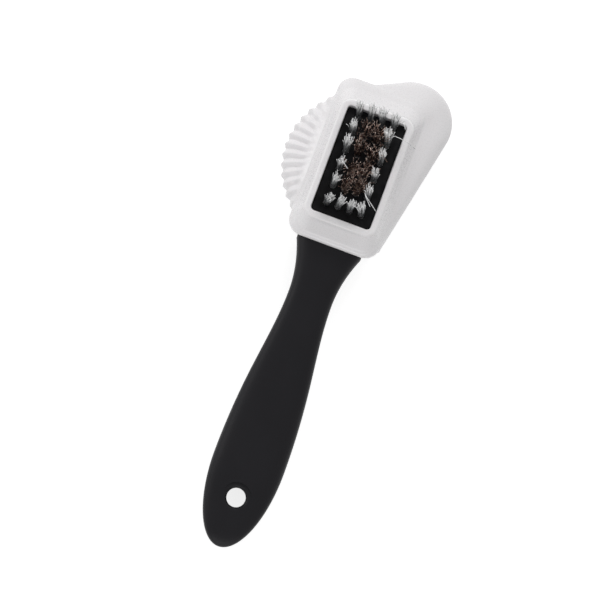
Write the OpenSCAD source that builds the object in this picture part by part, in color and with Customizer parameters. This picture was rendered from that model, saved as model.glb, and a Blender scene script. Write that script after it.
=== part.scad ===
// Suede brush: a black grip whose core carries a white rubber head and a plate of nylon and brass tufts.
// Lengths are millimetres. The origin is the middle of the hanging hole.
// +Y runs along the grip to the head, +Z points out of the tufts, +X is the side of the smooth lobe.
// The modules measure heights from the plane that the brush lies on; place() then moves them to the origin.

/* [Grip] */
// Radius of the hanging hole
hole_r = 4.15; // [3.5:0.05:5.5]
// Width of the chamfer round both ends of the hanging hole
hole_chamfer = 1.4; // [0.3:0.1:1.8]
// Length from the axis of the hanging hole to the tip of the tail
tail_len = 22; // [18:0.5:30]
// Thickness of the tail at the hanging hole
tail_t = 12.4; // [9:0.1:15]
// Width of the grip at its belly
belly_w = 31.6; // [26:0.1:38]
// Thickness of the grip at its belly
belly_t = 16; // [13:0.1:20]
// Distance from the hanging hole to the belly
belly_y = 16; // [12:0.5:24]
// Width of the grip half way between the belly and the neck
waist_w = 27.2; // [22:0.1:28]
// Width of the neck
neck_w = 19.9; // [15:0.1:22]
// Thickness of the neck
neck_t = 13.4; // [10:0.1:16]
// Height of the centre line at the neck
neck_z = 12.2; // [9:0.1:14]
// Distance from the hanging hole to the neck
neck_y = 91.5; // [75:0.5:98]
// Width of the collar that meets the rubber
collar_w = 29.6; // [26:0.1:33]
// Thickness of the collar
collar_t = 15.5; // [12:0.1:17]
// Height of the centre line at the collar
collar_z = 14.4; // [12:0.1:16]
// Sideways slope of the grip where it meets the rubber
collar_flare = 0.42; // [0:0.01:0.6]
// Distance from the hanging hole to the line where the top of the collar meets the rubber
grip_len = 114.4; // [105:0.1:125]
// Depth to which the collar sits in the rubber
collar_sink = 4.5; // [3.5:0.1:6]
// Squareness of the grip's section, where 2 is an ellipse
grip_square = 2.8; // [2:0.1:5]

/* [Core] */
// Width of the core inside the rubber
core_w = 28; // [26.5:0.1:29]
// Thickness of the core
core_t = 13; // [10:0.1:15]
// Length of core past the far edge of the window
core_past = 3; // [1:0.1:5]
// Corner radius of the core's far end
core_r = 5; // [2:0.1:8]
// Radius of the holes that lock the rubber to the core
lock_r = 4; // [2:0.1:5]
// Distance between the two lock holes
lock_gap = 19; // [14:0.5:24]

/* [Rubber block] */
// Width of the rubber block
block_w = 42; // [38:0.1:46]
// Length of the rubber block
block_len = 75.6; // [70:0.1:84]
// Height of the rim round the window
block_h = 34; // [31:0.1:38]
// Corner radius of the block's outline
block_r = 7; // [4:0.1:10]
// Radius of the rounded edge round the back
back_r = 4; // [2:0.1:5]
// Angle by which the near end leans back towards the resting side
near_tilt = 10; // [0:0.5:14]
// Height at which the sides start to lean inwards
side_h = 14; // [12:0.1:17]
// Height of the foot of the bevels
foot_h = 25; // [22.5:0.1:27]
// How far the foot of the side bevels lies inside the outline
foot_side = 2.2; // [1:0.1:3]
// How far the foot of the bevel next to the grip lies inside the outline
foot_near = 2.1; // [1:0.1:4]
// How far the foot of the far bevel lies inside the outline
foot_far = 6.2; // [3:0.1:8]
// How late the sides turn over into the foot of the bevels, where 2 is a parabola
lean_bow = 3.2; // [2:0.1:4]
// Width of the rim round the window
rim_w = 3.2; // [2:0.1:4]
// Radius of the rounded outer edge of the rim
rim_r = 1.3; // [0.3:0.1:1.8]

/* [Ribbed wheel] */
// Radius of the ribbed wheel
wheel_r = 34.7; // [32:0.1:38]
// Distance of the wheel's centre to the right of the middle
wheel_x = 0.5; // [-2:0.1:3]
// Height of the wheel's middle and of the lobe's
wing_z = 11.5; // [10:0.1:12.5]
// Gap under the wheel and the lobe down to the back
wing_gap = 4.3; // [4.1:0.1:6]
// Thickness of the ribbed wheel above its middle
wheel_up = 8; // [5:0.1:9]
// Height of the soft corner where the wheel and the lobe leave the block
wing_fillet = 1.8; // [0:0.1:2.5]
// Number of ribs
rib_n = 14; // [8:1:18]
// Depth of the grooves between the ribs
rib_depth = 1.2; // [0.5:0.1:1.8]
// Angle that the ribs span
rib_span = 112; // [80:1:120]

/* [Smooth lobe] */
// Radius of the lobe
lobe_r = 18.2; // [14:0.1:20]
// Distance of the lobe's centre to the right of the middle
lobe_x = 15; // [12:0.1:17]
// Distance from the lobe's centre to the far end of the block
lobe_back = 8.5; // [5:0.1:14]
// Thickness of the lobe above its middle
lobe_up = 9.2; // [6:0.1:9.8]
// How far the lobe's straight side stands out of the block's near corner
lobe_side = 0.6; // [0:0.1:1]
// Angle between the lobe's straight far side and the far end of the block
lobe_slope = 30; // [28:1:40]

/* [Plate] */
// Width of the window
window_w = 26.9; // [22:0.1:28]
// Length of the window
window_len = 48.6; // [44:0.1:53]
// Corner radius of the window
window_r = 1.8; // [1:0.1:4]
// Distance from the collar's line to the window
window_y = 10.1; // [9:0.1:13]
// Depth of the plate's face below the rim
recess = 3; // [1:0.1:5]
// Thickness of the plate
plate_t = 9; // [7.5:0.1:11]
// Clearance between the plate and the window
plate_clear = 0.1; // [0.05:0.01:0.3]
// Radius of the plate's two locating pegs
peg_r = 2.5; // [1.5:0.1:3.5]
// Length of the pegs
peg_len = 4; // [2:0.1:6]
// Distance between the two pegs
peg_gap = 38; // [34:0.5:40]

/* [Tufts] */
// Number of tufts across the plate
tuft_cols = 4; // [3:1:5]
// Number of tufts along the plate
tuft_rows = 6; // [4:1:7]
// Distance from the window's sides to the outer tufts
side_margin = 5.65; // [3:0.05:6]
// Distance from the window's near edge to the first row
near_margin = 5.6; // [3:0.1:7]
// Distance from the last row to the window's far edge
far_margin = 2.7; // [2.2:0.1:7]
// Radius of the tuft holes
tuft_r = 1.5; // [1.2:0.05:1.8]
// Depth of the tuft holes
tuft_depth = 6; // [4:0.1:6.4]
// Clearance of tufts and anchors in the plate
tuft_clear = 0.04; // [0.02:0.01:0.08]
// Length of the nylon strands above the plate
nylon_len = 14.5; // [8:0.1:20]
// Length of the brass strands above the plate
brass_len = 13.6; // [8:0.1:20]
// Number of strands in a nylon tuft
nylon_n = 13; // [6:1:18]
// Number of strands in a brass tuft
brass_n = 22; // [8:1:26]
// Thickness of a nylon strand
nylon_d = 0.4; // [0.2:0.01:0.45]
// Thickness of a brass strand
brass_d = 0.3; // [0.15:0.01:0.35]
// Thickness of the anchors that hold the folded tufts
anchor_t = 0.4; // [0.3:0.05:0.6]
// Height of the anchors
anchor_h = 1.6; // [1:0.1:2]
// Depth to which an anchor bites into the plate on each side
anchor_bite = 0.4; // [0.2:0.05:0.6]
// Thickness of fold that lies under an anchor
anchor_lift = 0.6; // [0.4:0.1:1]

/* [Hidden] */
bore_fn = 64;
golden = 137.508;

// Grip and core
mid_y = (belly_y + neck_y) / 2;
waist_slope = -0.75 * (belly_w - neck_w) / (neck_y - belly_y);
tail_slope = 0.3 * (belly_t - tail_t) / belly_y;
// Stations along the grip: distance, value, slope
half_widths = [
    [belly_y, belly_w / 2, 0],
    [mid_y, waist_w / 2, waist_slope],
    [neck_y, neck_w / 2, 0],
    [grip_len, collar_w / 2, collar_flare]
];
half_thicks = [
    [-tail_len, tail_t / 2 - tail_slope * tail_len / 2, tail_slope / 2],
    [0, tail_t / 2, tail_slope],
    [belly_y, belly_t / 2, 0],
    [neck_y, neck_t / 2, 0],
    [grip_len, collar_t / 2, 0]
];
centres = [
    [belly_y, belly_t / 2, 0],
    [neck_y, neck_z, 0.07],
    [grip_len, collar_z, 0]
];
grip_sides = 32;
tail_rings = 12;
grip_rings = 20;
tip_share = 0.9975;
spigot = 4;
collar_top = collar_z + collar_t / 2;
collar_end = grip_len + collar_sink;

// Window, plate and tufts
plate_z = block_h - recess;
seat_z = plate_z - plate_t;
core_z = seat_z - core_t;
window_y0 = grip_len + window_y;
window_y1 = window_y0 + window_len;
window_mid = (window_y0 + window_y1) / 2;
core_y1 = window_y1 + core_past;
peg_clear = 0.1;
peg_room = 0.4;
pitch_x = (window_w - 2 * side_margin) / (tuft_cols - 1);
pitch_y = (window_len - near_margin - far_margin) / (tuft_rows - 1);
floor_z = plate_z - tuft_depth;
anchor_len = 2 * (tuft_r + anchor_bite);
anchor_z = floor_z + anchor_lift;

// Rubber head
head_y0 = grip_len;
head_y1 = grip_len + block_len;
head_mid = (head_y0 + head_y1) / 2;
lobe_y = head_y1 - lobe_back;
corner_y = near_end(wing_z) + block_r;
corner_x = block_w / 2 - block_r + lobe_side;
blend = 0.5;
// Shares of a wing's reach at which its section has a ring
wing_shares = [0, 0.14, 0.34, 0.6, 0.82, 0.95];
fillet_share = 0.34;
wheel_square = 2.4;
lobe_square = 1.7;
rib_from = 180 - rib_span / 2;
rib_steps = 4;
plain_step = 3;

cells = [for (row = [0 : tuft_rows - 1]) for (col = [0 : tuft_cols - 1]) [col, row]];
nylon_cells = [for (cell = cells) if (is_outer(cell)) cell];
brass_cells = [for (cell = cells) if (!is_outer(cell)) cell];

function is_outer(cell) =
    cell[0] == 0 || cell[0] == tuft_cols - 1 || cell[1] == 0 || cell[1] == tuft_rows - 1;
function tuft_name(kind, i) = str(kind, "_tuft_", i < 9 ? "0" : "", i + 1);
function mix(a, b, t) = a + (b - a) * t;
function clamp01(t) = max(0, min(1, t));
function smooth(t) = clamp01(t) * clamp01(t) * (3 - 2 * clamp01(t));

// Triangles of a skin over rings of points, with a flat lid at each end
function skin_sides(rings, sides) = [
    for (j = [0 : rings - 2]) for (i = [0 : sides - 1])
        let (a = j * sides + i, b = j * sides + (i + 1) % sides)
        each [[a, a + sides, b + sides], [a, b + sides, b]]
];
function skin(rings, sides) = concat(
    skin_sides(rings, sides),
    [[for (i = [0 : sides - 1]) i]],
    [[for (i = [0 : sides - 1]) rings * sides - 1 - i]]
);
// The same with lids that fan out from a point in the middle of each
function fan_skin(rings, sides) = concat(
    skin_sides(rings, sides),
    [for (i = [0 : sides - 1]) [rings * sides, i, (i + 1) % sides]],
    [for (i = [0 : sides - 1]) let (k = (rings - 1) * sides) [rings * sides + 1, k + (i + 1) % sides, k + i]]
);

// A smooth curve through stations of distance, value and slope
function segment_of(s, y, i = 0) = i >= len(s) - 2 || y <= s[i + 1][0] ? i : segment_of(s, y, i + 1);
function curve(s, y) =
    let (i = segment_of(s, y), run = s[i + 1][0] - s[i][0], t = (y - s[i][0]) / run)
    (2 * pow(t, 3) - 3 * pow(t, 2) + 1) * s[i][1]
    + (pow(t, 3) - 2 * pow(t, 2) + t) * run * s[i][2]
    + (3 * pow(t, 2) - 2 * pow(t, 3)) * s[i + 1][1]
    + (pow(t, 3) - pow(t, 2)) * run * s[i + 1][2];

// Grip: the tail is a quarter ellipse in plan, the rest follows its stations
function tail_share(y) = (belly_y - y) / (belly_y + tail_len);
function grip_half_w(y) =
    y < belly_y ? belly_w / 2 * sqrt(1 - pow(tail_share(y), 2)) : curve(half_widths, y);
function tail_round(y) = y < 0 ? sqrt(1 - pow(tail_share(y), 8)) : 1;
function grip_half_t(y) = curve(half_thicks, y) * tail_round(y);
function grip_centre(y) = y < belly_y ? belly_t / 2 : curve(centres, y);
function rounded(c) = sign(c) * pow(abs(c), 2 / grip_square);
// Section of the grip at a distance, as sideways place and height
function grip_section(y) = [
    for (i = [0 : grip_sides - 1])
        let (a = 360 * i / grip_sides)
        [grip_half_w(y) * rounded(cos(a)), grip_centre(y) - grip_half_t(y) * rounded(sin(a))]
];
grip_ys = concat(
    [for (i = [0 : tail_rings - 1]) belly_y - (belly_y + tail_len) * tip_share * cos(90 * i / tail_rings)],
    [for (i = [0 : grip_rings]) mix(belly_y, grip_len, i / grip_rings)],
    [collar_end]
);

module grip() {
    polyhedron(
        points = [for (y = grip_ys) for (p = grip_section(min(y, grip_len))) [p[0], y, p[1]]],
        faces = skin(len(grip_ys), grip_sides)
    );
}

// The hanging hole with its two chamfers; the cut starts where the tail's faces are
module hanging_hole() {
    top = belly_t / 2 + tail_t / 2;
    bottom = belly_t / 2 - tail_t / 2;
    translate([0, 0, bottom - 1])
        cylinder(r = hole_r, h = tail_t + 2, $fn = bore_fn);
    translate([0, 0, top - hole_chamfer])
        cylinder(r1 = hole_r, r2 = hole_r + 2 * hole_chamfer, h = 2 * hole_chamfer, $fn = bore_fn);
    translate([0, 0, bottom - hole_chamfer])
        cylinder(r1 = hole_r + 2 * hole_chamfer, r2 = hole_r, h = 2 * hole_chamfer, $fn = bore_fn);
}

// The end of the grip that sits in the rubber
module collar_block() {
    translate([0, collar_end, 0])
        rotate([90, 0, 0])
            linear_extrude(collar_sink + 1)
                polygon(grip_section(grip_len));
}

// A bar with two rounded corners at its far end
module core_bar() {
    translate([0, 0, core_z])
        linear_extrude(core_t)
            union() {
                translate([-core_w / 2, collar_end])
                    square([core_w, core_y1 - core_r - collar_end]);
                translate([-core_w / 2 + core_r, collar_end])
                    square([core_w - 2 * core_r, core_y1 - collar_end]);
                for (side = [-1, 1])
                    translate([side * (core_w / 2 - core_r), core_y1 - core_r])
                        circle(r = core_r, $fn = bore_fn);
            }
}

module lock_holes() {
    for (side = [-1, 1])
        translate([0, window_mid + side * lock_gap / 2, core_z - 1])
            cylinder(r = lock_r, h = core_t + 2, $fn = bore_fn);
}

module pegs(clear, room) {
    for (side = [-1, 1])
        translate([0, window_mid + side * peg_gap / 2, seat_z - peg_len - room])
            cylinder(r = peg_r + clear, h = peg_len + room + 1, $fn = bore_fn);
}

// The core as the rubber is moulded round it: the rubber fills the lock holes
module core_body() {
    difference() {
        core_bar();
        lock_holes();
    }
}

module handle() {
    color([0.11, 0.11, 0.12])
        difference() {
            union() {
                grip();
                core_body();
                translate([-neck_w / 4, collar_end - spigot, collar_z - collar_t / 4])
                    cube([neck_w / 2, spigot + 1, collar_t / 2]);
            }
            hanging_hole();
            pegs(peg_clear, peg_room);
        }
}

// Outline of the block at a height: half width, near end, far end, corner radius
function back_inset(z) = z >= back_r ? 0 : back_r * (1 - sqrt(1 - pow((back_r - z) / back_r, 2)));
function lean(z, from) = pow(max(0, z - from) / (foot_h - from), lean_bow);
function near_end(z) =
    head_y0 + max(0, collar_top - z) * tan(near_tilt) + foot_near * lean(z, collar_top);
function outline_low(z) =
    let (d = back_inset(z))
    [
        block_w / 2 - d - foot_side * lean(z, side_h),
        near_end(z) + d,
        head_y1 - d - foot_far * lean(z, side_h),
        block_r
    ];
function outline_rim(inset) = [
    window_w / 2 + rim_w - inset,
    window_y0 - rim_w + inset,
    window_y1 + rim_w - inset,
    window_r + rim_w - inset
];
rim_foot_z = block_h - rim_r;
function outline(z) =
    z <= foot_h ? outline_low(z)
    : z <= rim_foot_z ? mix(outline_low(foot_h), outline_rim(0), (z - foot_h) / (rim_foot_z - foot_h))
    : outline_rim(rim_r * (1 - sqrt(1 - pow((z - rim_foot_z) / rim_r, 2))));

// Distance from the head's middle to an outline, in the direction of angle a
function box_reach(o, a) =
    let (
        dx = abs(cos(a)),
        dy = abs(sin(a)),
        hy = sin(a) >= 0 ? o[2] - head_mid : head_mid - o[1],
        flat = min(o[0] / max(dx, 1e-6), hy / max(dy, 1e-6)),
        cx = o[0] - o[3],
        cy = hy - o[3],
        along = dx * cx + dy * cy
    )
    flat * dx > cx && flat * dy > cy
        ? along + sqrt(max(0, pow(along, 2) - cx * cx - cy * cy + o[3] * o[3]))
        : flat;

// Distance from the head's middle to the far side of a circle, or 0 where the ray misses it
function disc_reach(x, y, r, a) =
    let (
        px = x,
        py = y - head_mid,
        along = cos(a) * px + sin(a) * py,
        rest = pow(along, 2) - px * px - py * py + r * r
    )
    rest > 0 ? max(0, along + sqrt(rest)) : 0;

// The lobe's straight side: the tangent of the lobe and of the block's near corner
lobe_run = norm([lobe_x - corner_x, lobe_y - corner_y]);
lobe_lean = atan2(lobe_x - corner_x, lobe_y - corner_y) + asin((lobe_r - block_r) / lobe_run);
lobe_normal = [cos(lobe_lean), -sin(lobe_lean)];
function tangent_reach(a) =
    let (
        facing = lobe_normal[0] * cos(a) + lobe_normal[1] * sin(a),
        gap = lobe_normal[0] * lobe_x + lobe_normal[1] * (lobe_y - head_mid) + lobe_r,
        reach = gap / max(facing, 0.01),
        along = -lobe_normal[1] * (reach * cos(a) - lobe_x)
            + lobe_normal[0] * (reach * sin(a) + head_mid - lobe_y)
    )
    facing > 0.01 && along < 0 && along > -lobe_run ? reach : 0;

// The lobe's straight far side, which runs from the lobe's circle into the block's far end
function slope_reach(a) =
    let (
        nx = -sin(lobe_slope),
        ny = cos(lobe_slope),
        facing = nx * cos(a) + ny * sin(a),
        reach = (nx * lobe_x + ny * (lobe_y - head_mid) + lobe_r) / max(facing, 0.01),
        along = ny * (lobe_x - reach * cos(a)) - nx * (lobe_y - head_mid - reach * sin(a))
    )
    facing > 0.01 && along > 0 && reach * cos(a) > -corner_x ? reach : 0;

function is_left(a) = cos(a) < 0;
function wing_reach(a) =
    is_left(a) ? max(disc_reach(wheel_x, head_mid + 1, wheel_r, a), slope_reach(a))
    : max(disc_reach(lobe_x, lobe_y, lobe_r, a), tangent_reach(a), slope_reach(a));
// How far a wing stands out of the block, blended softly into it
function wing_out(a) =
    let (block = box_reach(outline(wing_z), a), d = wing_reach(a) - block)
    d <= 0 ? 0 : d * (1 - exp(-d / blend));
function wing_up(a) = mix(wheel_up, lobe_up, smooth((cos(a) + 0.3) / 0.6));
function wing_down() = wing_z - wing_gap;
function wing_square(a) = mix(wheel_square, lobe_square, smooth((cos(a) + 0.3) / 0.6));

// Depth of the pleats between the ribs of the wheel
function rib_phase(a) = (a - rib_from) / rib_span * rib_n;
function rib_cut(a) =
    a <= rib_from || a >= rib_from + rib_span ? 0
    : rib_depth * (1 - abs(2 * (rib_phase(a) - floor(rib_phase(a))) - 1)) * clamp01(wing_out(a) / 3);

// A point of a wing's section: share of its reach, and +1 above or -1 below its middle
function wing_point(a, share, side) =
    let (
        rise = side > 0 ? wing_up(a) : wing_down(),
        z = wing_z + side * rise * pow(1 - pow(share, wing_square(a)), 1 / wing_square(a)),
        cut = rib_cut(a) * clamp01(share / fillet_share),
        soft = wing_fillet * pow(max(0, 1 - share / fillet_share), 2) * clamp01(wing_out(a) / 6),
        above = side > 0 ? soft - cut * sqrt(1 - share * share) : 0
    )
    [box_reach(outline(z + above), a) + wing_out(a) * share - cut * share, z + above];
function wing_tip(a) = [box_reach(outline(wing_z), a) + wing_out(a) - rib_cut(a), wing_z];
function wall_point(a, z) = [box_reach(outline(z), a), z];

// The head's section at angle a, from the back up to the rim, as distance and height
back_zs = [0, back_r * 0.12, back_r * 0.45, back_r];
top_zs = [
    (foot_h + wing_z + max(lobe_up, wheel_up) + wing_fillet) / 2, foot_h, mix(foot_h, rim_foot_z, 0.5),
    rim_foot_z, rim_foot_z + rim_r * 0.7, block_h
];
function head_section(a) = concat(
    [for (z = back_zs) wall_point(a, z)],
    [for (s = wing_shares) wing_point(a, s, -1)],
    [wing_tip(a)],
    [for (i = [len(wing_shares) - 1 : -1 : 0]) wing_point(a, wing_shares[i], 1)],
    [for (z = top_zs) wall_point(a, z)]
);
head_angles = concat(
    [for (i = [0 : rib_n * rib_steps - 1]) rib_from + rib_span * i / (rib_n * rib_steps)],
    [
        for (i = [0 : round((360 - rib_span) / plain_step) - 1])
            rib_from + rib_span + (360 - rib_span) * i / round((360 - rib_span) / plain_step)
    ]
);
head_sections = [for (a = head_angles) head_section(a % 360)];
head_rings = len(head_sections[0]);

module head_skin() {
    polyhedron(
        points = concat(
            [
                for (j = [0 : head_rings - 1]) for (i = [0 : len(head_angles) - 1])
                    let (p = head_sections[i][j])
                    [p[0] * cos(head_angles[i]), head_mid + p[0] * sin(head_angles[i]), p[1]]
            ],
            [[0, head_mid, 0], [0, head_mid, block_h]]
        ),
        faces = fan_skin(head_rings, len(head_angles))
    );
}

// A straight block with rounded corners over the window, made smaller by an inset
module window_block(inset, z, h) {
    r = window_r - inset;
    translate([0, window_mid, z])
        linear_extrude(h)
            union() {
                square([window_w - 2 * window_r, window_len - 2 * inset], center = true);
                square([window_w - 2 * inset, window_len - 2 * window_r], center = true);
                for (sx = [-1, 1])
                    for (sy = [-1, 1])
                        translate([sx * (window_w / 2 - window_r), sy * (window_len / 2 - window_r)])
                            circle(r = r, $fn = bore_fn);
            }
}

module rubber_head() {
    color([0.93, 0.92, 0.93])
        difference() {
            head_skin();
            collar_block();
            core_body();
            window_block(0, seat_z, block_h - seat_z + 1);
        }
}

function tuft_x(cell) = (cell[0] - (tuft_cols - 1) / 2) * pitch_x;
function tuft_y(cell) = window_y0 + near_margin + cell[1] * pitch_y;

module anchors(grow) {
    for (cell = cells)
        translate([
            tuft_x(cell) - anchor_t / 2 - grow, tuft_y(cell) - anchor_len / 2 - grow, anchor_z - grow
        ])
            cube([anchor_t + 2 * grow, anchor_len + 2 * grow, anchor_h + 2 * grow]);
}

module bristle_plate() {
    color([0.07, 0.07, 0.08])
        difference() {
            union() {
                window_block(plate_clear, seat_z, plate_t);
                pegs(0, 0);
            }
            for (cell = cells)
                translate([tuft_x(cell), tuft_y(cell), floor_z])
                    cylinder(r = tuft_r, h = tuft_depth + 1, $fn = bore_fn);
            anchors(tuft_clear);
        }
}

module tuft_anchors() {
    color([0.62, 0.62, 0.6]) anchors(0);
}

// A strand of three sides through three places, thinner towards its tip
function strand_ring(p, r, turn) = [
    for (i = [0 : 2]) [p[0] + r * cos(turn + 120 * i), p[1] + r * sin(turn + 120 * i), p[2]]
];
module strand(root, middle, tip, d) {
    turn = root[0] * 400;
    polyhedron(
        points = concat(
            strand_ring(root, d / 2, turn), strand_ring(middle, d / 2, turn), strand_ring(tip, d * 0.4, turn)
        ),
        faces = skin(3, 3)
    );
}

// A tuft: the packed fold in its hole, and strands that spread evenly so that none crosses another
root_share = 0.84;
strand_sink = 1.2;
module tuft(cell, n, d, length, spread_x, spread_y) {
    seed = 7 * cell[0] + 11 * cell[1];
    lean = [0.05 * pitch_x * sin(97 * seed), 0.06 * pitch_y * cos(61 * seed)];
    translate([tuft_x(cell), tuft_y(cell), 0])
        difference() {
            union() {
                translate([0, 0, floor_z + tuft_clear])
                    cylinder(r = tuft_r - tuft_clear, h = tuft_depth - tuft_clear, $fn = bore_fn);
                for (i = [0 : n - 1]) {
                    p = sqrt((i + 0.5) / n) * [cos(golden * i + 40 * seed), sin(golden * i + 40 * seed)];
                    root = p * (tuft_r * root_share - d / 2);
                    tip = [p[0] * spread_x, p[1] * spread_y] + lean;
                    middle = mix(root, tip, 0.38);
                    rise = length * (1 + 0.03 * sin(77 * i + 31 * seed));
                    strand(
                        [root[0], root[1], plate_z - strand_sink],
                        [middle[0], middle[1], plate_z + rise * 0.55],
                        [tip[0], tip[1], plate_z + rise],
                        d
                    );
                }
            }
            translate([-anchor_t / 2 - tuft_clear, -anchor_len / 2, anchor_z - tuft_clear])
                cube([anchor_t + 2 * tuft_clear, anchor_len, anchor_h + 2 * tuft_clear]);
        }
}

module nylon_tuft(cell) {
    color([0.9, 0.91, 0.92])
        tuft(cell, nylon_n, nylon_d, nylon_len, 0.37 * pitch_x, 0.3 * pitch_y);
}

module brass_tuft(cell) {
    color([0.42, 0.29, 0.17])
        tuft(cell, brass_n, brass_d, brass_len, 0.42 * pitch_x, 0.4 * pitch_y);
}

// Moves heights from the resting plane to the middle of the hanging hole
module place() {
    translate([0, 0, -belly_t / 2]) children();
}

place() handle();
place() rubber_head();
place() bristle_plate();
place() tuft_anchors();
for (i = [0 : len(nylon_cells) - 1])
    place() nylon_tuft(nylon_cells[i]);
for (i = [0 : len(brass_cells) - 1])
    place() brass_tuft(brass_cells[i]);
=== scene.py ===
"""Suede brush: black grip, white rubber head with ribbed wheel and smooth lobe, nylon and brass tufts.

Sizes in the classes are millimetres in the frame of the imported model, whose origin is the middle of the
hanging hole. +Y runs along the grip to the head and +Z out of the tufts.
"""
import logging
import math
import random
from dataclasses import dataclass
from enum import Enum
from typing import Sequence

import bpy
from mathutils import Matrix, Vector


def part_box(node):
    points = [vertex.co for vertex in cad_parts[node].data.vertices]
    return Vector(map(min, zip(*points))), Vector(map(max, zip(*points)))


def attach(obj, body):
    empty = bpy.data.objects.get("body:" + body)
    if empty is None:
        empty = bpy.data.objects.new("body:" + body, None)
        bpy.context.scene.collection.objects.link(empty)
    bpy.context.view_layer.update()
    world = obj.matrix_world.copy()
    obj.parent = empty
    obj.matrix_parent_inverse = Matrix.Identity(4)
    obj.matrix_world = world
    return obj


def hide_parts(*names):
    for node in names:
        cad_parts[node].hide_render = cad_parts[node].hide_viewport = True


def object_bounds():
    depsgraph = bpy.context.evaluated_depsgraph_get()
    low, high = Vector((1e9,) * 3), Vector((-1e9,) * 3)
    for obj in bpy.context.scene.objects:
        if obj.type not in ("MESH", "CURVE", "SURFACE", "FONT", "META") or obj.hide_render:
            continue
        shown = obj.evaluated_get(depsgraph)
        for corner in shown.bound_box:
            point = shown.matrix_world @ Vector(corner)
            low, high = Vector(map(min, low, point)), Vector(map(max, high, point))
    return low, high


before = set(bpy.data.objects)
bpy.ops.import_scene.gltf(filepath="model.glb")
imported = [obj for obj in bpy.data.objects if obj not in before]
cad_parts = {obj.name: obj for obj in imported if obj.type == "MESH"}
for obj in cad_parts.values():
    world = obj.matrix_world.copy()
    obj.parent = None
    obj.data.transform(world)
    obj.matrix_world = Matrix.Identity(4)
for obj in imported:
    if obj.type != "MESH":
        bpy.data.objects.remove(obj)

CAD_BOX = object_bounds()
MM = 0.001
BODY = "root"
LOG = logging.getLogger("suede_brush")
ALONG = Vector((0.0, 1.0, 0.0))
ACROSS = Vector((1.0, 0.0, 0.0))
GRAIN_DEPTH = 0.0002
WIRE_GRAIN_DEPTH = 0.00005
GRAZING = 0.01
SHARPEST_CORNER = 0.05
GOLDEN_ANGLE = 137.508
NEARLY_ALONG = 0.9
NODE_STEP = 190

Point = tuple[float, float, float]
Ring = list[Point]
Colour = tuple[float, float, float, float]
Piece = bpy.types.Object
Mesh = bpy.types.Mesh
Material = bpy.types.Material
Node = bpy.types.Node
Tree = bpy.types.NodeTree
Socket = bpy.types.NodeSocket


class Slot(Enum):
    """Material slots of the pieces that are modelled here."""

    GRIP = "grip_plastic"
    RUBBER = "head_rubber"
    NYLON = "nylon"
    BRASS = "brass_wire"


class Filament(Enum):
    """The two kinds of filament that fill the tufts."""

    NYLON = "nylon"
    BRASS = "brass"


# ---------------------------------------------------------------- small helpers


def mix(a: float, b: float, t: float) -> float:
    """Return the value a share t of the way from a to b."""
    return a + (b - a) * t


def clamp(t: float) -> float:
    """Return t held between 0 and 1."""
    return max(0.0, min(1.0, t))


def smooth(t: float) -> float:
    """Return t held between 0 and 1 with a soft start and end."""
    t = clamp(t)
    return t * t * (3 - 2 * t)


def even_steps(a: float, b: float, count: int) -> list[float]:
    """Return the values from a to b in equal steps, with both ends."""
    return [mix(a, b, i / count) for i in range(count + 1)]


def quarter_turn(count: int) -> list[float]:
    """Return the angles from 0 to a quarter turn in equal steps, with both ends."""
    return [math.pi / 2 * i / count for i in range(count + 1)]


def deselect() -> None:
    """Leave edit mode and select nothing."""
    if bpy.context.object and bpy.context.object.mode != "OBJECT":
        bpy.ops.object.mode_set(mode="OBJECT")
    bpy.ops.object.select_all(action="DESELECT")


def activate(piece: Piece) -> None:
    """Select one object alone and make it the active one.

    Args:
        piece: The object.
    """
    deselect()
    piece.select_set(True)
    bpy.context.view_layer.objects.active = piece


def apply_modifiers(piece: Piece) -> None:
    """Apply every modifier of an object in order.

    Args:
        piece: The object.
    """
    activate(piece)
    for modifier in list(piece.modifiers):
        bpy.ops.object.modifier_apply(modifier=modifier.name)


def fix_normals(piece: Piece) -> None:
    """Merge doubles, clear slivers and point all faces outwards.

    Args:
        piece: The object.
    """
    activate(piece)
    bpy.ops.object.mode_set(mode="EDIT")
    bpy.ops.mesh.select_all(action="SELECT")
    bpy.ops.mesh.remove_doubles(threshold=1e-6)
    bpy.ops.mesh.dissolve_degenerate(threshold=1e-6)
    bpy.ops.mesh.normals_make_consistent(inside=False)
    bpy.ops.object.mode_set(mode="OBJECT")


def smooth_shade(piece: Piece, angle: float) -> None:
    """Shade an object smooth where faces meet at less than an angle in degrees."""
    activate(piece)
    bpy.ops.object.shade_smooth_by_angle(angle=math.radians(angle))


def loft(name: str, rings: Sequence[Ring]) -> Piece:
    """Model a closed skin over rings of points, from a grid that is rolled up and given two lids.

    Args:
        name: Name of the piece.
        rings: Rings from one end to the other, with the same number of points each.

    Returns:
        The new object, with a flat lid at each end.
    """
    sides, steps = len(rings[0]), len(rings) - 1
    deselect()
    bpy.ops.mesh.primitive_grid_add(x_subdivisions=sides, y_subdivisions=steps, size=2.0)
    piece = bpy.context.object
    piece.name = piece.data.name = name
    for vertex in piece.data.vertices:
        ring = rings[round((vertex.co.y + 1) / 2 * steps)]
        x, y, z = ring[round((vertex.co.x + 1) / 2 * sides) % sides]
        vertex.co = (x * MM, y * MM, z * MM)
    bpy.ops.object.mode_set(mode="EDIT")
    bpy.ops.mesh.select_mode(type="EDGE")
    bpy.ops.mesh.select_all(action="SELECT")
    bpy.ops.mesh.remove_doubles(threshold=1e-7)
    bpy.ops.mesh.fill_holes(sides=0)
    bpy.ops.object.mode_set(mode="OBJECT")
    fix_normals(piece)
    return piece


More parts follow.
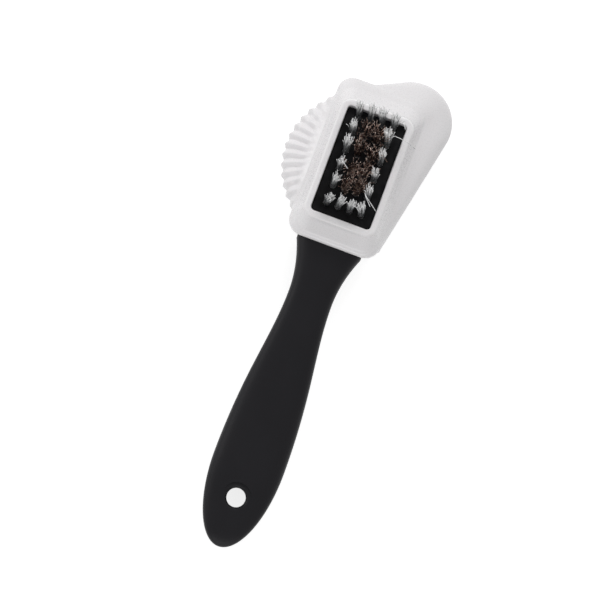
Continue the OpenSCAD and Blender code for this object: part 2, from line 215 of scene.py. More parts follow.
def cut(piece: Piece, cutter: Piece) -> None:
    """Cut one object out of another and delete the cutter.

    Args:
        piece: The object that loses material.
        cutter: The object whose shape it loses.
    """
    modifier = piece.modifiers.new("cut", "BOOLEAN")
    modifier.operation = "DIFFERENCE"
    modifier.solver = "EXACT"
    modifier.object = cutter
    apply_modifiers(piece)
    bpy.data.objects.remove(cutter)
    fix_normals(piece)


def hand_over(piece: Piece, slot: Slot, *nodes: str) -> None:
    """Seat a finished piece on the frame: its body and the nodes it stands for.

    Args:
        piece: The finished piece.
        slot: Its material slot; not used.
        nodes: The CAD nodes that it replaces.
    """
    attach(piece, BODY)
    if nodes:
        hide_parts(*nodes)
    LOG.info("%s: %d faces", piece.name, len(piece.data.polygons))


# ---------------------------------------------------------------- node groups and finishes


class NodeSheet:
    """Adds nodes to a tree and wires them by name."""

    def __init__(self, tree: Tree) -> None:
        """Keep the tree and start at its left side."""
        self.tree = tree
        self.column = 0

    def add(self, kind: str, settings: dict | None = None, **inputs: object) -> Node:
        """Add a node, set its fields and fill its inputs.

        Args:
            kind: The node's type.
            settings: Fields of the node itself.
            inputs: Values or output sockets, by input name with underscores for spaces.

        Returns:
            The new node.
        """
        node = self.tree.nodes.new(kind)
        node.location = (self.column * NODE_STEP, 0)
        self.column += 1
        for key, value in (settings or {}).items():
            setattr(node, key, value)
        for key, value in inputs.items():
            socket = self.socket(node, key)
            if isinstance(value, Socket):
                self.tree.links.new(value, socket)
            else:
                socket.default_value = value
        return node

    @staticmethod
    def socket(node: Node, key: str) -> Socket:
        """Find an input by its number, as in_0, or by its name with underscores for spaces.

        Args:
            node: The node.
            key: Number or name of the input.

        Returns:
            The input.
        """
        if key.startswith("in_"):
            return node.inputs[int(key[3:])]
        return node.inputs[key.replace("_", " ")]

    def math(self, operation: str, a: object, b: object = 0.0, clamped: bool = False) -> Socket:
        """Add a Math node and return its output."""
        node = self.add("ShaderNodeMath", {"operation": operation, "use_clamp": clamped}, in_0=a, in_1=b)
        return node.outputs[0]

    def noise(self, place: Socket, scale: object, detail: float, **inputs: object) -> Socket:
        """Add a Noise Texture and return its factor."""
        node = self.add("ShaderNodeTexNoise", Vector=place, Scale=scale, Detail=detail, **inputs)
        return node.outputs["Fac"]

    def group(self, tree: Tree, place: Socket, **inputs: object) -> Node:
        """Place a shared shader group on the given coordinates and return its node."""
        return self.add("ShaderNodeGroup", {"node_tree": tree}, Vector=place, **inputs)

    def remap(
        self, value: object, low: float, high: float, to_low: float = 0.0, to_high: float = 1.0
    ) -> Socket:
        """Add a Map Range node and return its output."""
        ends = {"From_Min": low, "From_Max": high, "To_Min": to_low, "To_Max": to_high}
        return self.add("ShaderNodeMapRange", Value=value, **ends).outputs["Result"]

    def blend(self, mask: object, a: object, b: object) -> Socket:
        """Mix two colours by a mask and return the result."""
        node = self.add("ShaderNodeMix", {"data_type": "RGBA"}, in_0=mask, in_6=a, in_7=b)
        return node.outputs[2]

    def relief(self, height: Socket, strength: float, depth: float) -> Socket:
        """Add a bump over a height, with its depth in metres, and return its normal."""
        bump = self.add("ShaderNodeBump", Strength=strength, Distance=depth, Height=height)
        return bump.outputs["Normal"]

    def surface(self, colour: Socket, rough: Socket, normal: Socket, **plain: object) -> Node:
        """Add a material's one Principled shader.

        Args:
            colour: Base colour.
            rough: Roughness.
            normal: Normal with the finish's relief.
            plain: What its other inputs are set to.

        Returns:
            The shader.
        """
        return self.add(
            "ShaderNodeBsdfPrincipled", Base_Color=colour, Roughness=rough, Normal=normal, **plain
        )


def new_group(
    name: str, inputs: dict[str, float], outputs: Sequence[str]
) -> tuple[Tree, NodeSheet]:
    """Make an empty shader group with number inputs and outputs and a Vector input.

    Args:
        name: Name of the group.
        inputs: Default value of each number input.
        outputs: Names of the number outputs.

    Returns:
        The group and a sheet to add nodes to it.
    """
    group = bpy.data.node_groups.new(name, "ShaderNodeTree")
    group.interface.new_socket("Vector", in_out="INPUT", socket_type="NodeSocketVector")
    for key, value in inputs.items():
        socket = group.interface.new_socket(key, in_out="INPUT", socket_type="NodeSocketFloat")
        socket.default_value = value
    for key in outputs:
        group.interface.new_socket(key, in_out="OUTPUT", socket_type="NodeSocketFloat")
    return group, NodeSheet(group)


def moulded_grain_group() -> Tree:
    """Build the fine grain of a spark-eroded mould: a height and a tone mask.

    Returns:
        The group, with inputs Vector, Grain Scale and Drift Scale and outputs Height, Tone and Drift.
    """
    group, sheet = new_group(
        "moulded_grain", {"Grain Scale": 2600.0, "Drift Scale": 60.0}, ("Height", "Tone", "Drift")
    )
    entry = sheet.add("NodeGroupInput")
    place, scale = entry.outputs["Vector"], entry.outputs["Grain Scale"]
    fine = sheet.noise(place, scale, 3.0)
    pits = sheet.add("ShaderNodeTexVoronoi", Vector=place, Scale=scale)
    drift = sheet.noise(place, entry.outputs["Drift Scale"], 4.0)
    height = sheet.math("ADD", fine, sheet.math("MULTIPLY", pits.outputs["Distance"], 0.6))
    tone = sheet.remap(fine, 0.3, 0.7)
    sheet.add("NodeGroupOutput", Height=height, Tone=tone, Drift=sheet.remap(drift, 0.3, 0.7))
    return group


def rubbed_edge_group() -> Tree:
    """Build a mask of handled edges and ridges from the surface's own curvature, broken up by noise.

    Returns:
        The group, with inputs Vector, Break Scale and Reach and output Mask.
    """
    group, sheet = new_group("rubbed_edges", {"Break Scale": 220.0, "Reach": 1.0}, ("Mask",))
    entry = sheet.add("NodeGroupInput")
    geometry = sheet.add("ShaderNodeNewGeometry")
    ridge = sheet.remap(geometry.outputs["Pointiness"], 0.5, 0.6)
    breaks = sheet.noise(entry.outputs["Vector"], entry.outputs["Break Scale"], 5.0)
    mask = sheet.math("MULTIPLY", ridge, sheet.remap(breaks, 0.35, 0.65, 0.2, 1.0))
    sheet.add("NodeGroupOutput", Mask=sheet.math("MULTIPLY", mask, entry.outputs["Reach"], True))
    return group


@dataclass(frozen=True)
class Groups:
    """The shader groups that several finishes share."""

    grain: Tree
    edges: Tree

    @classmethod
    def build(cls) -> "Groups":
        """Build each group once."""
        return cls(moulded_grain_group(), rubbed_edge_group())


def start_material(name: str) -> tuple[Material, NodeSheet, Socket, Node]:
    """Make a node material with its output.

    Args:
        name: Name of the material.

    Returns:
        The material, its sheet, the Object coordinates and the output node.
    """
    material = bpy.data.materials.new(name)
    material.use_nodes = True
    material.node_tree.nodes.clear()
    sheet = NodeSheet(material.node_tree)
    place = sheet.add("ShaderNodeTexCoord").outputs["Object"]
    output = sheet.add("ShaderNodeOutputMaterial")
    return material, sheet, place, output


@dataclass(frozen=True)
class Finish:
    """What all finishes of the brush share: a name, and one shader over their masks."""

    name: str

    def build(self, groups: Groups) -> Material:
        """Build the material.

        Args:
            groups: The shared shader groups.

        Returns:
            The finished material.
        """
        material, sheet, place, output = start_material(self.name)
        shader = self.paint(sheet, place, groups)
        sheet.tree.links.new(shader.outputs["BSDF"], output.inputs["Surface"])
        return material

    def paint(self, sheet: NodeSheet, place: Socket, groups: Groups) -> Node:
        """Add the finish's masks and its shader.

        Args:
            sheet: The material's sheet.
            place: Object coordinates.
            groups: The shared shader groups.

        Returns:
            The shader.
        """
        raise NotImplementedError


@dataclass(frozen=True)
class MouldedPlastic(Finish):
    """Matt black moulded plastic with a fine grain and slightly polished edges.

    Attributes:
        colour: Base colour.
        worn: Colour of rubbed edges.
        rough: Roughness.
        rough_worn: Roughness of rubbed edges.
        rough_drift: Least and most that the roughness drifts over the surface.
        grain_scale: Fineness of the mould's grain.
        bump: Strength of that grain.
        specular: Strength of the reflection.
        wear: How strongly edges are rubbed.
        cloud: How many times brighter the clouds in the colour are.
        cloud_share: How strongly those clouds show.
    """

    colour: Colour = (0.0085, 0.0082, 0.0098, 1.0)
    worn: Colour = (0.017, 0.0165, 0.018, 1.0)
    rough: float = 0.46
    rough_worn: float = 0.36
    rough_drift: tuple[float, float] = (-0.03, 0.04)
    grain_scale: float = 2600.0
    bump: float = 0.12
    specular: float = 0.12
    wear: float = 0.8
    cloud: float = 1.5
    cloud_share: float = 0.35

    def paint(self, sheet: NodeSheet, place: Socket, groups: Groups) -> Node:
        """Cloud the black a little, rub its edges and grain it like its mould.

        Args:
            sheet: The material's sheet.
            place: Object coordinates.
            groups: The shared shader groups.

        Returns:
            The shader.
        """
        grain = sheet.group(groups.grain, place, Grain_Scale=self.grain_scale)
        edges = sheet.group(groups.edges, place, Reach=self.wear).outputs["Mask"]
        drift = grain.outputs["Drift"]
        paler = tuple(self.cloud * c for c in self.colour[:3]) + (1.0,)
        base = sheet.blend(sheet.math("MULTIPLY", drift, self.cloud_share), self.colour, paler)
        colour = sheet.blend(edges, base, self.worn)
        polish = sheet.remap(edges, 0.0, 1.0, self.rough, self.rough_worn)
        rough = sheet.math("ADD", polish, sheet.remap(drift, 0.0, 1.0, *self.rough_drift))
        normal = sheet.relief(grain.outputs["Height"], self.bump, GRAIN_DEPTH)
        return sheet.surface(colour, rough, normal, Specular_IOR_Level=self.specular)


@dataclass(frozen=True)
class SoftRubber(Finish):
    """Matt white thermoplastic rubber with a soft bloom, faint handling marks and a painted highlight
    along the rim's far edge.

    Attributes:
        rim_low: Height in metres where the rim's edge begins.
        rim_high: Height in metres of the rim's top.
        highlight_near: Place in metres along the brush from which the painted highlight on the rim's edge
            shows.
        highlight_left: Place in metres across the brush from which it shows.
        highlight_right: Place in metres across the brush where it is fully bright.
        foot_fade: Height in metres over which the painted highlight fades in at its foot.
        top_fades: Depths in metres under the rim's top where it starts to fade and is gone.
        near_fade: Length in metres over which it fades in along the brush.
        colour: Base colour.
        shade: Colour of the bloom and the marks.
        highlight_colour: Colour of the painted highlight.
        rough: Roughness.
        rough_drift: How far the roughness strays to both sides.
        grain_scale: Fineness of the grain.
        bump: Strength of the grain.
        bloom: How strongly the bloom shows.
        mark_scale: Fineness of the handling marks.
        mark_share: How strongly those marks show.
        specular: Strength of the reflection.
        depth_share: Share of the light that passes under the skin.
        depth: How far it passes, in metres.
    """

    rim_low: float
    rim_high: float
    highlight_near: float
    highlight_left: float = -0.0165
    highlight_right: float = -0.0125
    foot_fade: float = 0.0003
    top_fades: tuple[float, float] = (0.00025, 0.0001)
    near_fade: float = 0.004
    colour: Colour = (0.815, 0.80, 0.81, 1.0)
    shade: Colour = (0.795, 0.778, 0.79, 1.0)
    highlight_colour: Colour = (0.96, 0.95, 0.955, 1.0)
    rough: float = 0.28
    rough_drift: float = 0.02
    grain_scale: float = 2100.0
    bump: float = 0.006
    bloom: float = 0.6
    mark_scale: float = 95.0
    mark_share: float = 0.5
    specular: float = 0.5
    depth_share: float = 0.05
    depth: float = 0.002

    def paint(self, sheet: NodeSheet, place: Socket, groups: Groups) -> Node:
        """Tint the white by its bloom and marks and paint a highlight along the rim's far edge.

        Args:
            sheet: The material's sheet.
            place: Object coordinates.
            groups: The shared shader groups.

        Returns:
            The shader.
        """
        grain = sheet.group(groups.grain, place, Grain_Scale=self.grain_scale)
        patches = sheet.noise(place, self.mark_scale, 3.0, Roughness=0.5)
        marks = sheet.remap(patches, 0.52, 0.72, 0.0, self.mark_share)
        bloom = sheet.math("MULTIPLY", grain.outputs["Drift"], self.bloom)
        colour = sheet.blend(bloom, self.colour, self.shade)
        colour = sheet.blend(marks, colour, self.shade)
        # Painted highlight: a pale band along the rim's far edge.
        colour = sheet.blend(self.highlight_mask(sheet, place), colour, self.highlight_colour)
        drift = sheet.remap(grain.outputs["Tone"], 0.0, 1.0, -self.rough_drift, self.rough_drift)
        return sheet.surface(
            colour,
            sheet.math("ADD", drift, self.rough),
            sheet.relief(grain.outputs["Height"], self.bump, GRAIN_DEPTH),
            Specular_IOR_Level=self.specular,
            Subsurface_Weight=self.depth_share,
            Subsurface_Radius=(1.0, 0.9, 0.85),
            Subsurface_Scale=self.depth,
        )

    def highlight_mask(self, sheet: NodeSheet, place: Socket) -> Socket:
        """Mask the rim's edge round the far right of the window, where a painted highlight shows as a
        bright line.

        Args:
            sheet: The material's sheet.
            place: Object coordinates.

        Returns:
            The mask.
        """
        split = sheet.add("ShaderNodeSeparateXYZ", Vector=place)
        fading, gone = (self.rim_high - fade for fade in self.top_fades)
        lower = sheet.remap(split.outputs["Z"], self.rim_low, self.rim_low + self.foot_fade)
        upper = sheet.remap(split.outputs["Z"], fading, gone, 1.0, 0.0)
        far = sheet.remap(split.outputs["Y"], self.highlight_near, self.highlight_near + self.near_fade)
        right = sheet.remap(split.outputs["X"], self.highlight_left, self.highlight_right)
        band = sheet.math("MULTIPLY", lower, upper)
        return sheet.math("MULTIPLY", band, sheet.math("MULTIPLY", far, right))


@dataclass(frozen=True)
class FilamentFinish(Finish):
    """Drawn filament with painted shade that darkens it from its tip down to its root in the plate.

    Attributes:
        root: Colour next to the plate, darkened by painted shade.
        middle: Colour halfway up, which on the nylon is darkened by painted shade.
        tip: Colour at the tip, which on the brass is a painted glint.
        low: Height in metres up to which the root's colour stays.
        high: Height in metres where the tip's colour is full.
        metal: Metallic share.
        rough: Roughness.
        streak: How much single filaments differ.
        rise: How late the tip's colour sets in.
        glow: Strength of a painted glow, an emission that stands in for light passed on from inside the
            tuft.
        specular: Strength of the reflection.
        rough_drift: How far the roughness strays to both sides.
        strand_scale: Fineness of the streaks across the filaments.
        strand_stretch: Their fineness along the filaments, as a share of that.
        grain_scale: Fineness of the grain.
        bump: Strength of the grain.
    """

    root: Colour
    middle: Colour
    tip: Colour
    low: float
    high: float
    metal: float
    rough: float
    streak: float
    rise: float
    glow: float = 0.0
    specular: float = 1.0
    rough_drift: float = 0.06
    strand_scale: float = 1900.0
    strand_stretch: float = 0.06
    grain_scale: float = 5200.0
    bump: float = 0.1

    def paint(self, sheet: NodeSheet, place: Socket, groups: Groups) -> Node:
        """Run the tone up the filaments, with painted shade darkening them towards their roots, streaked
        so that they differ.

        Args:
            sheet: The material's sheet.
            place: Object coordinates.
            groups: The shared shader groups.

        Returns:
            The shader.
        """
        split = sheet.add("ShaderNodeSeparateXYZ", Vector=place)
        height = sheet.remap(split.outputs["Z"], self.low, self.high)
        upright = sheet.add("ShaderNodeMapping", Vector=place, Scale=(1.0, 1.0, self.strand_stretch))
        strands = sheet.noise(upright.outputs["Vector"], self.strand_scale, 2.0)
        streak = sheet.remap(strands, 0.3, 0.7, -self.streak, self.streak)
        rise = sheet.math("ADD", sheet.math("POWER", height, self.rise), streak, True)
        # Painted shade: dark at the root and lighter up to the tip's colour, standing in for the shade
        # deep in the tufts.
        colour = sheet.blend(sheet.remap(rise, 0.0, 0.5), self.root, self.middle)
        colour = sheet.blend(sheet.remap(rise, 0.5, 1.0), colour, self.tip)
        grain = sheet.group(groups.grain, place, Grain_Scale=self.grain_scale)
        drift = sheet.remap(grain.outputs["Tone"], 0.0, 1.0, -self.rough_drift, self.rough_drift)
        rough = sheet.math("ADD", drift, self.rough)
        normal = sheet.relief(grain.outputs["Height"], self.bump, WIRE_GRAIN_DEPTH)
        plain = {"Metallic": self.metal, "Specular_IOR_Level": self.specular}
        # Painted glow: emission in the filaments' own colour that stands in for light passing through
        # them.
        if self.glow:
            plain |= {"Emission_Color": colour, "Emission_Strength": self.glow}
        return sheet.surface(colour, rough, normal, **plain)


@dataclass(frozen=True)
class DrawnSteel(Finish):
    """Flat drawn wire with fine lengthwise lines.

    Attributes:
        colour: Colour between the lines.
        dull: Colour of the lines.
        line_scale: Fineness of the lines.
        line_stretch: Their fineness along the wire, as a share of that.
        bump: Depth of the lines.
        grain_scale: Fineness of the grain in the roughness.
        roughs: Least and greatest roughness.
    """

    colour: Colour = (0.56, 0.55, 0.53, 1.0)
    dull: Colour = (0.36, 0.35, 0.33, 1.0)
    line_scale: float = 6000.0
    line_stretch: float = 0.04
    bump: float = 0.2
    grain_scale: float = 3000.0
    roughs: tuple[float, float] = (0.28, 0.42)

    def paint(self, sheet: NodeSheet, place: Socket, groups: Groups) -> Node:
        """Draw the lines along the wire.

        Args:
            sheet: The material's sheet.
            place: Object coordinates.
            groups: The shared shader groups.

        Returns:
            The shader.
        """
        along = sheet.add("ShaderNodeMapping", Vector=place, Scale=(1.0, self.line_stretch, 1.0))
        lines = sheet.noise(along.outputs["Vector"], self.line_scale, 4.0)
        grain = sheet.group(groups.grain, place, Grain_Scale=self.grain_scale)
        colour = sheet.blend(lines, self.dull, self.colour)
        rough = sheet.remap(grain.outputs["Tone"], 0.0, 1.0, *self.roughs)
        normal = sheet.relief(lines, self.bump, WIRE_GRAIN_DEPTH)
        return sheet.surface(colour, rough, normal, Metallic=1.0)


def nylon_finish(plate_z: float) -> FilamentFinish:
    """Choose the looks of the white nylon.

    Args:
        plate_z: Height of the plate's face in metres.

    Returns:
        The finish, with painted shade darkening the roots and a faint painted glow.
    """
    return FilamentFinish(
        "nylon_white",
        # Painted shade: root and middle are dark grey where the tufts shade the white nylon.
        root=(0.085, 0.087, 0.09, 1.0),
        middle=(0.32, 0.326, 0.33, 1.0),
        tip=(0.86, 0.86, 0.86, 1.0),
        low=plate_z + 0.0038,
        high=plate_z + 0.0125,
        metal=0.0,
        rough=0.18,
        streak=0.32,
        rise=1.4,
        # Painted glow standing in for light through the nylon.
        glow=0.05,
    )


def brass_finish(plate_z: float) -> FilamentFinish:
    """Choose the looks of the dull brass.

    Args:
        plate_z: Height of the plate's face in metres.

    Returns:
        The finish, with painted shade darkening the roots and painted glints at single tips.
    """
    return FilamentFinish(
        "brass_dull",
        # Painted shade: the root is near black where the wires shade each other.
        root=(0.016, 0.008, 0.006, 1.0),
        middle=(0.29, 0.15, 0.102, 1.0),
        # Painted glint: a pale tip colour that only single tips reach.
        tip=(1.0, 0.84, 0.75, 1.0),
        low=plate_z + 0.006,
        high=plate_z + 0.0132,
        metal=0.6,
        rough=0.3,
        streak=0.95,
        rise=3.0,
    )


def dress(piece: Piece, material: Material) -> None:
    """Give an object one material on all its faces."""
    piece.data.materials.clear()
    piece.data.materials.append(material)


# ---------------------------------------------------------------- grip


@dataclass
class Station:
    """A place along a smooth curve: distance, value and slope."""

    at: float
    value: float
    slope: float


def curve(stations: Sequence[Station], at: float) -> float:
    """Read a smooth curve through stations.

    Args:
        stations: Stations in order.
        at: Distance to read at.

    Returns:
        The value of the cubic through the two stations around that distance.
    """
    pairs = list(zip(stations, stations[1:]))
    a, b = next((pair for pair in pairs if at <= pair[1].at), pairs[-1])
    run = b.at - a.at
    t = (at - a.at) / run
    return (
        (2 * t**3 - 3 * t**2 + 1) * a.value
        + (t**3 - 2 * t**2 + t) * run * a.slope
        + (3 * t**2 - 2 * t**3) * b.value
        + (t**3 - t**2) * run * b.slope
    )


@dataclass
class Grip:
    """The black grip with its hanging hole and the collar that sits in the rubber.

    Attributes:
        rest: Height of the plane that the brush lies on.
        tail_len: Length from the hanging hole to the tip.
        tail_t, belly_t, neck_t, collar_t: Thickness at the hanging hole, belly, neck and collar.
        belly_w, waist_w, neck_w, collar_w: Width at the belly, waist, neck and collar.
        belly_y, neck_y: Distance of belly and neck from the hanging hole.
        neck_z, collar_z: Height of the middle at neck and collar over the resting plane.
        collar_flare: How fast the half width grows at the collar.
        grip_len: Length from the hanging hole to the rubber head.
        collar_sink: How deep the collar sits in the head.
        square: How square the section is, where 2 is an ellipse.
        tail_square: How square the tail's end is, seen from the side.
        tip_share: Share of the tail's length at which its last ring lies.
        tail_rise: Slope of a face at the hanging hole, as a share of the thickness's mean slope there.
        waist_fall: Slope of a side at the waist, as a share of the width's mean slope there.
        neck_climb: How fast the middle rises at the neck.
        hole_r, hole_round: Radius of the hanging hole and of its edges.
        hole_sink: How far below the face the edge's rounding ends.
        hole_flares: Outer rings of the hole's cutter: roundings out, and height over the rounding.
        hole_steps, hole_sides: Steps round the hole's edge and round its axis.
        sides, tail_rings, grip_rings: Points round a ring, rings on the tail and on the rest.
    """

    rest: float
    tail_len: float = 22.0
    tail_t: float = 12.4
    belly_w: float = 31.6
    belly_t: float = 16.0
    belly_y: float = 16.0
    waist_w: float = 27.2
    neck_w: float = 19.9
    neck_t: float = 13.4
    neck_z: float = 12.2
    neck_y: float = 91.5
    collar_w: float = 29.6
    collar_t: float = 15.5
    collar_z: float = 14.4
    collar_flare: float = 0.42
    grip_len: float = 114.4
    collar_sink: float = 4.5
    square: float = 2.8
    tail_square: float = 8.0
    tip_share: float = 0.99985
    tail_rise: float = 0.3
    waist_fall: float = 0.75
    neck_climb: float = 0.07
    hole_r: float = 4.15
    hole_round: float = 1.5
    hole_sink: float = 0.1
    hole_flares: tuple = ((1.6, 0.06), (1.7, 2.0))
    hole_steps: int = 8
    hole_sides: int = 96
    sides: int = 112
    tail_rings: int = 44
    grip_rings: int = 84

    def __post_init__(self) -> None:
        """Work out the stations along the grip."""
        waist_slope = -self.waist_fall * (self.belly_w - self.neck_w) / (self.neck_y - self.belly_y)
        tail_slope = self.tail_rise * (self.belly_t - self.tail_t) / self.belly_y
        self.widths = [
            Station(self.belly_y, self.belly_w / 2, 0.0),
            Station((self.belly_y + self.neck_y) / 2, self.waist_w / 2, waist_slope),
            Station(self.neck_y, self.neck_w / 2, 0.0),
            Station(self.grip_len, self.collar_w / 2, self.collar_flare),
        ]
        self.thicks = [
            Station(-self.tail_len, self.tail_t / 2 - tail_slope * self.tail_len / 2, tail_slope / 2),
            Station(0.0, self.tail_t / 2, tail_slope),
            Station(self.belly_y, self.belly_t / 2, 0.0),
            Station(self.neck_y, self.neck_t / 2, 0.0),
            Station(self.grip_len, self.collar_t / 2, 0.0),
        ]
        self.centres = [
            Station(self.belly_y, self.belly_t / 2, 0.0),
            Station(self.neck_y, self.neck_z, self.neck_climb),
            Station(self.grip_len, self.collar_z, 0.0),
        ]

    def tail_share(self, y: float) -> float:
        """Return how far y lies from the belly to the tip, from 0 to 1."""
        return (self.belly_y - y) / (self.belly_y + self.tail_len)

    def half_width(self, y: float) -> float:
        """Work out half the grip's width.

        Args:
            y: Distance from the hanging hole.

        Returns:
            Half the width.
        """
        if y < self.belly_y:
            return self.belly_w / 2 * math.sqrt(1 - self.tail_share(y) ** 2)
        return curve(self.widths, y)

    def half_thick(self, y: float) -> float:
        """Return half the grip's thickness at a distance."""
        end = math.sqrt(1 - self.tail_share(y) ** self.tail_square) if y < 0 else 1.0
        return curve(self.thicks, y) * end

    def centre(self, y: float) -> float:
        """Return the height of the centre line over the resting plane."""
        return self.belly_t / 2 if y < self.belly_y else curve(self.centres, y)

    def ring(self, y: float, grow: float = 0.0) -> Ring:
        """Work out the grip's section.

        Args:
            y: Distance from the hanging hole.
            grow: How far the section stands out of the grip.

        Returns:
            The section's points.
        """
        s = min(y, self.grip_len)
        half_w, half_t, mid = self.half_width(s) + grow, self.half_thick(s) + grow, self.centre(s)
        power = 2 / self.square
        points = []
        for i in range(self.sides):
            a = math.tau * i / self.sides
            across = math.copysign(abs(math.cos(a)) ** power, math.cos(a))
            up = math.copysign(abs(math.sin(a)) ** power, math.sin(a))
            points.append((half_w * across, y, self.rest + mid + half_t * up))
        return points

    def stations(self) -> list[float]:
        """Place the rings along the grip, close together towards the tip.

        Returns:
            Their distances from the hanging hole.
        """
        reach = (self.belly_y + self.tail_len) * self.tip_share
        tail = [self.belly_y - reach * math.cos(a) for a in quarter_turn(self.tail_rings)[:-1]]
        body = even_steps(self.belly_y, self.grip_len, self.grip_rings)
        return tail + body + [self.grip_len + self.collar_sink]

    def hole_cutter(self) -> Piece:
        """Model the hanging hole as a spool, whose flared ends leave rounded edges.

        Returns:
            The cutter.
        """
        top = self.tail_t / 2 - self.hole_sink
        profile = [(self.hole_r, 0.0)]
        for a in quarter_turn(self.hole_steps):
            out = self.hole_r + self.hole_round * (1 - math.cos(a))
            profile.append((out, top - self.hole_round + self.hole_round * math.sin(a)))
        profile += [(self.hole_r + out * self.hole_round, top + up) for out, up in self.hole_flares]
        spool = [(r, -z) for r, z in reversed(profile[1:])] + profile[1:]
        mid = self.rest + self.belly_t / 2
        turns = [math.tau * i / self.hole_sides for i in range(self.hole_sides)]
        rings = [[(r * math.cos(a), r * math.sin(a), mid + z) for a in turns] for r, z in spool]
        return loft("hole_cutter", rings)

    def build(self, material: Material) -> Piece:
        """Model the grip and dress it.

        Args:
            material: The grip's finish.

        Returns:
            The finished piece.
        """
        piece = loft("grip", [self.ring(y) for y in self.stations()])
        cut(piece, self.hole_cutter())
        smooth_shade(piece, angle=40.0)
        dress(piece, material)
        hand_over(piece, Slot.GRIP, "handle")
        return piece


# ---------------------------------------------------------------- rubber head


@dataclass
class Outline:
    """A block's outline at one height: half width, near end, far end and corner radius."""

    half: float
    near: float
    far: float
    corner: float

    def towards(self, other: "Outline", t: float) -> "Outline":
        """Blend the outline into another.

        Args:
            other: The outline at the end of the way.
            t: Share of the way.

        Returns:
            The outline in between.
        """
        return Outline(
            mix(self.half, other.half, t),
            mix(self.near, other.near, t),
            mix(self.far, other.far, t),
            mix(self.corner, other.corner, t),
        )

    def shrunk(self, inset: float) -> "Outline":
        """Return the outline drawn in on all sides."""
        corner = max(SHARPEST_CORNER, self.corner - inset)
        return Outline(self.half - inset, self.near + inset, self.far - inset, corner)

    def reach(self, mid: float, a: float) -> float:
        """Measure the way from the head's middle to the outline.

        Args:
            mid: Distance of the head's middle from the hanging hole.
            a: Direction in radians.

        Returns:
            The distance in millimetres.
        """
        dx, dy = abs(math.cos(a)), abs(math.sin(a))
        end = self.far - mid if math.sin(a) >= 0 else mid - self.near
        flat = min(self.half / max(dx, 1e-6), end / max(dy, 1e-6))
        cx, cy = self.half - self.corner, end - self.corner
        if flat * dx <= cx or flat * dy <= cy:
            return flat
        along = dx * cx + dy * cy
        return along + math.sqrt(max(0.0, along**2 - cx * cx - cy * cy + self.corner**2))


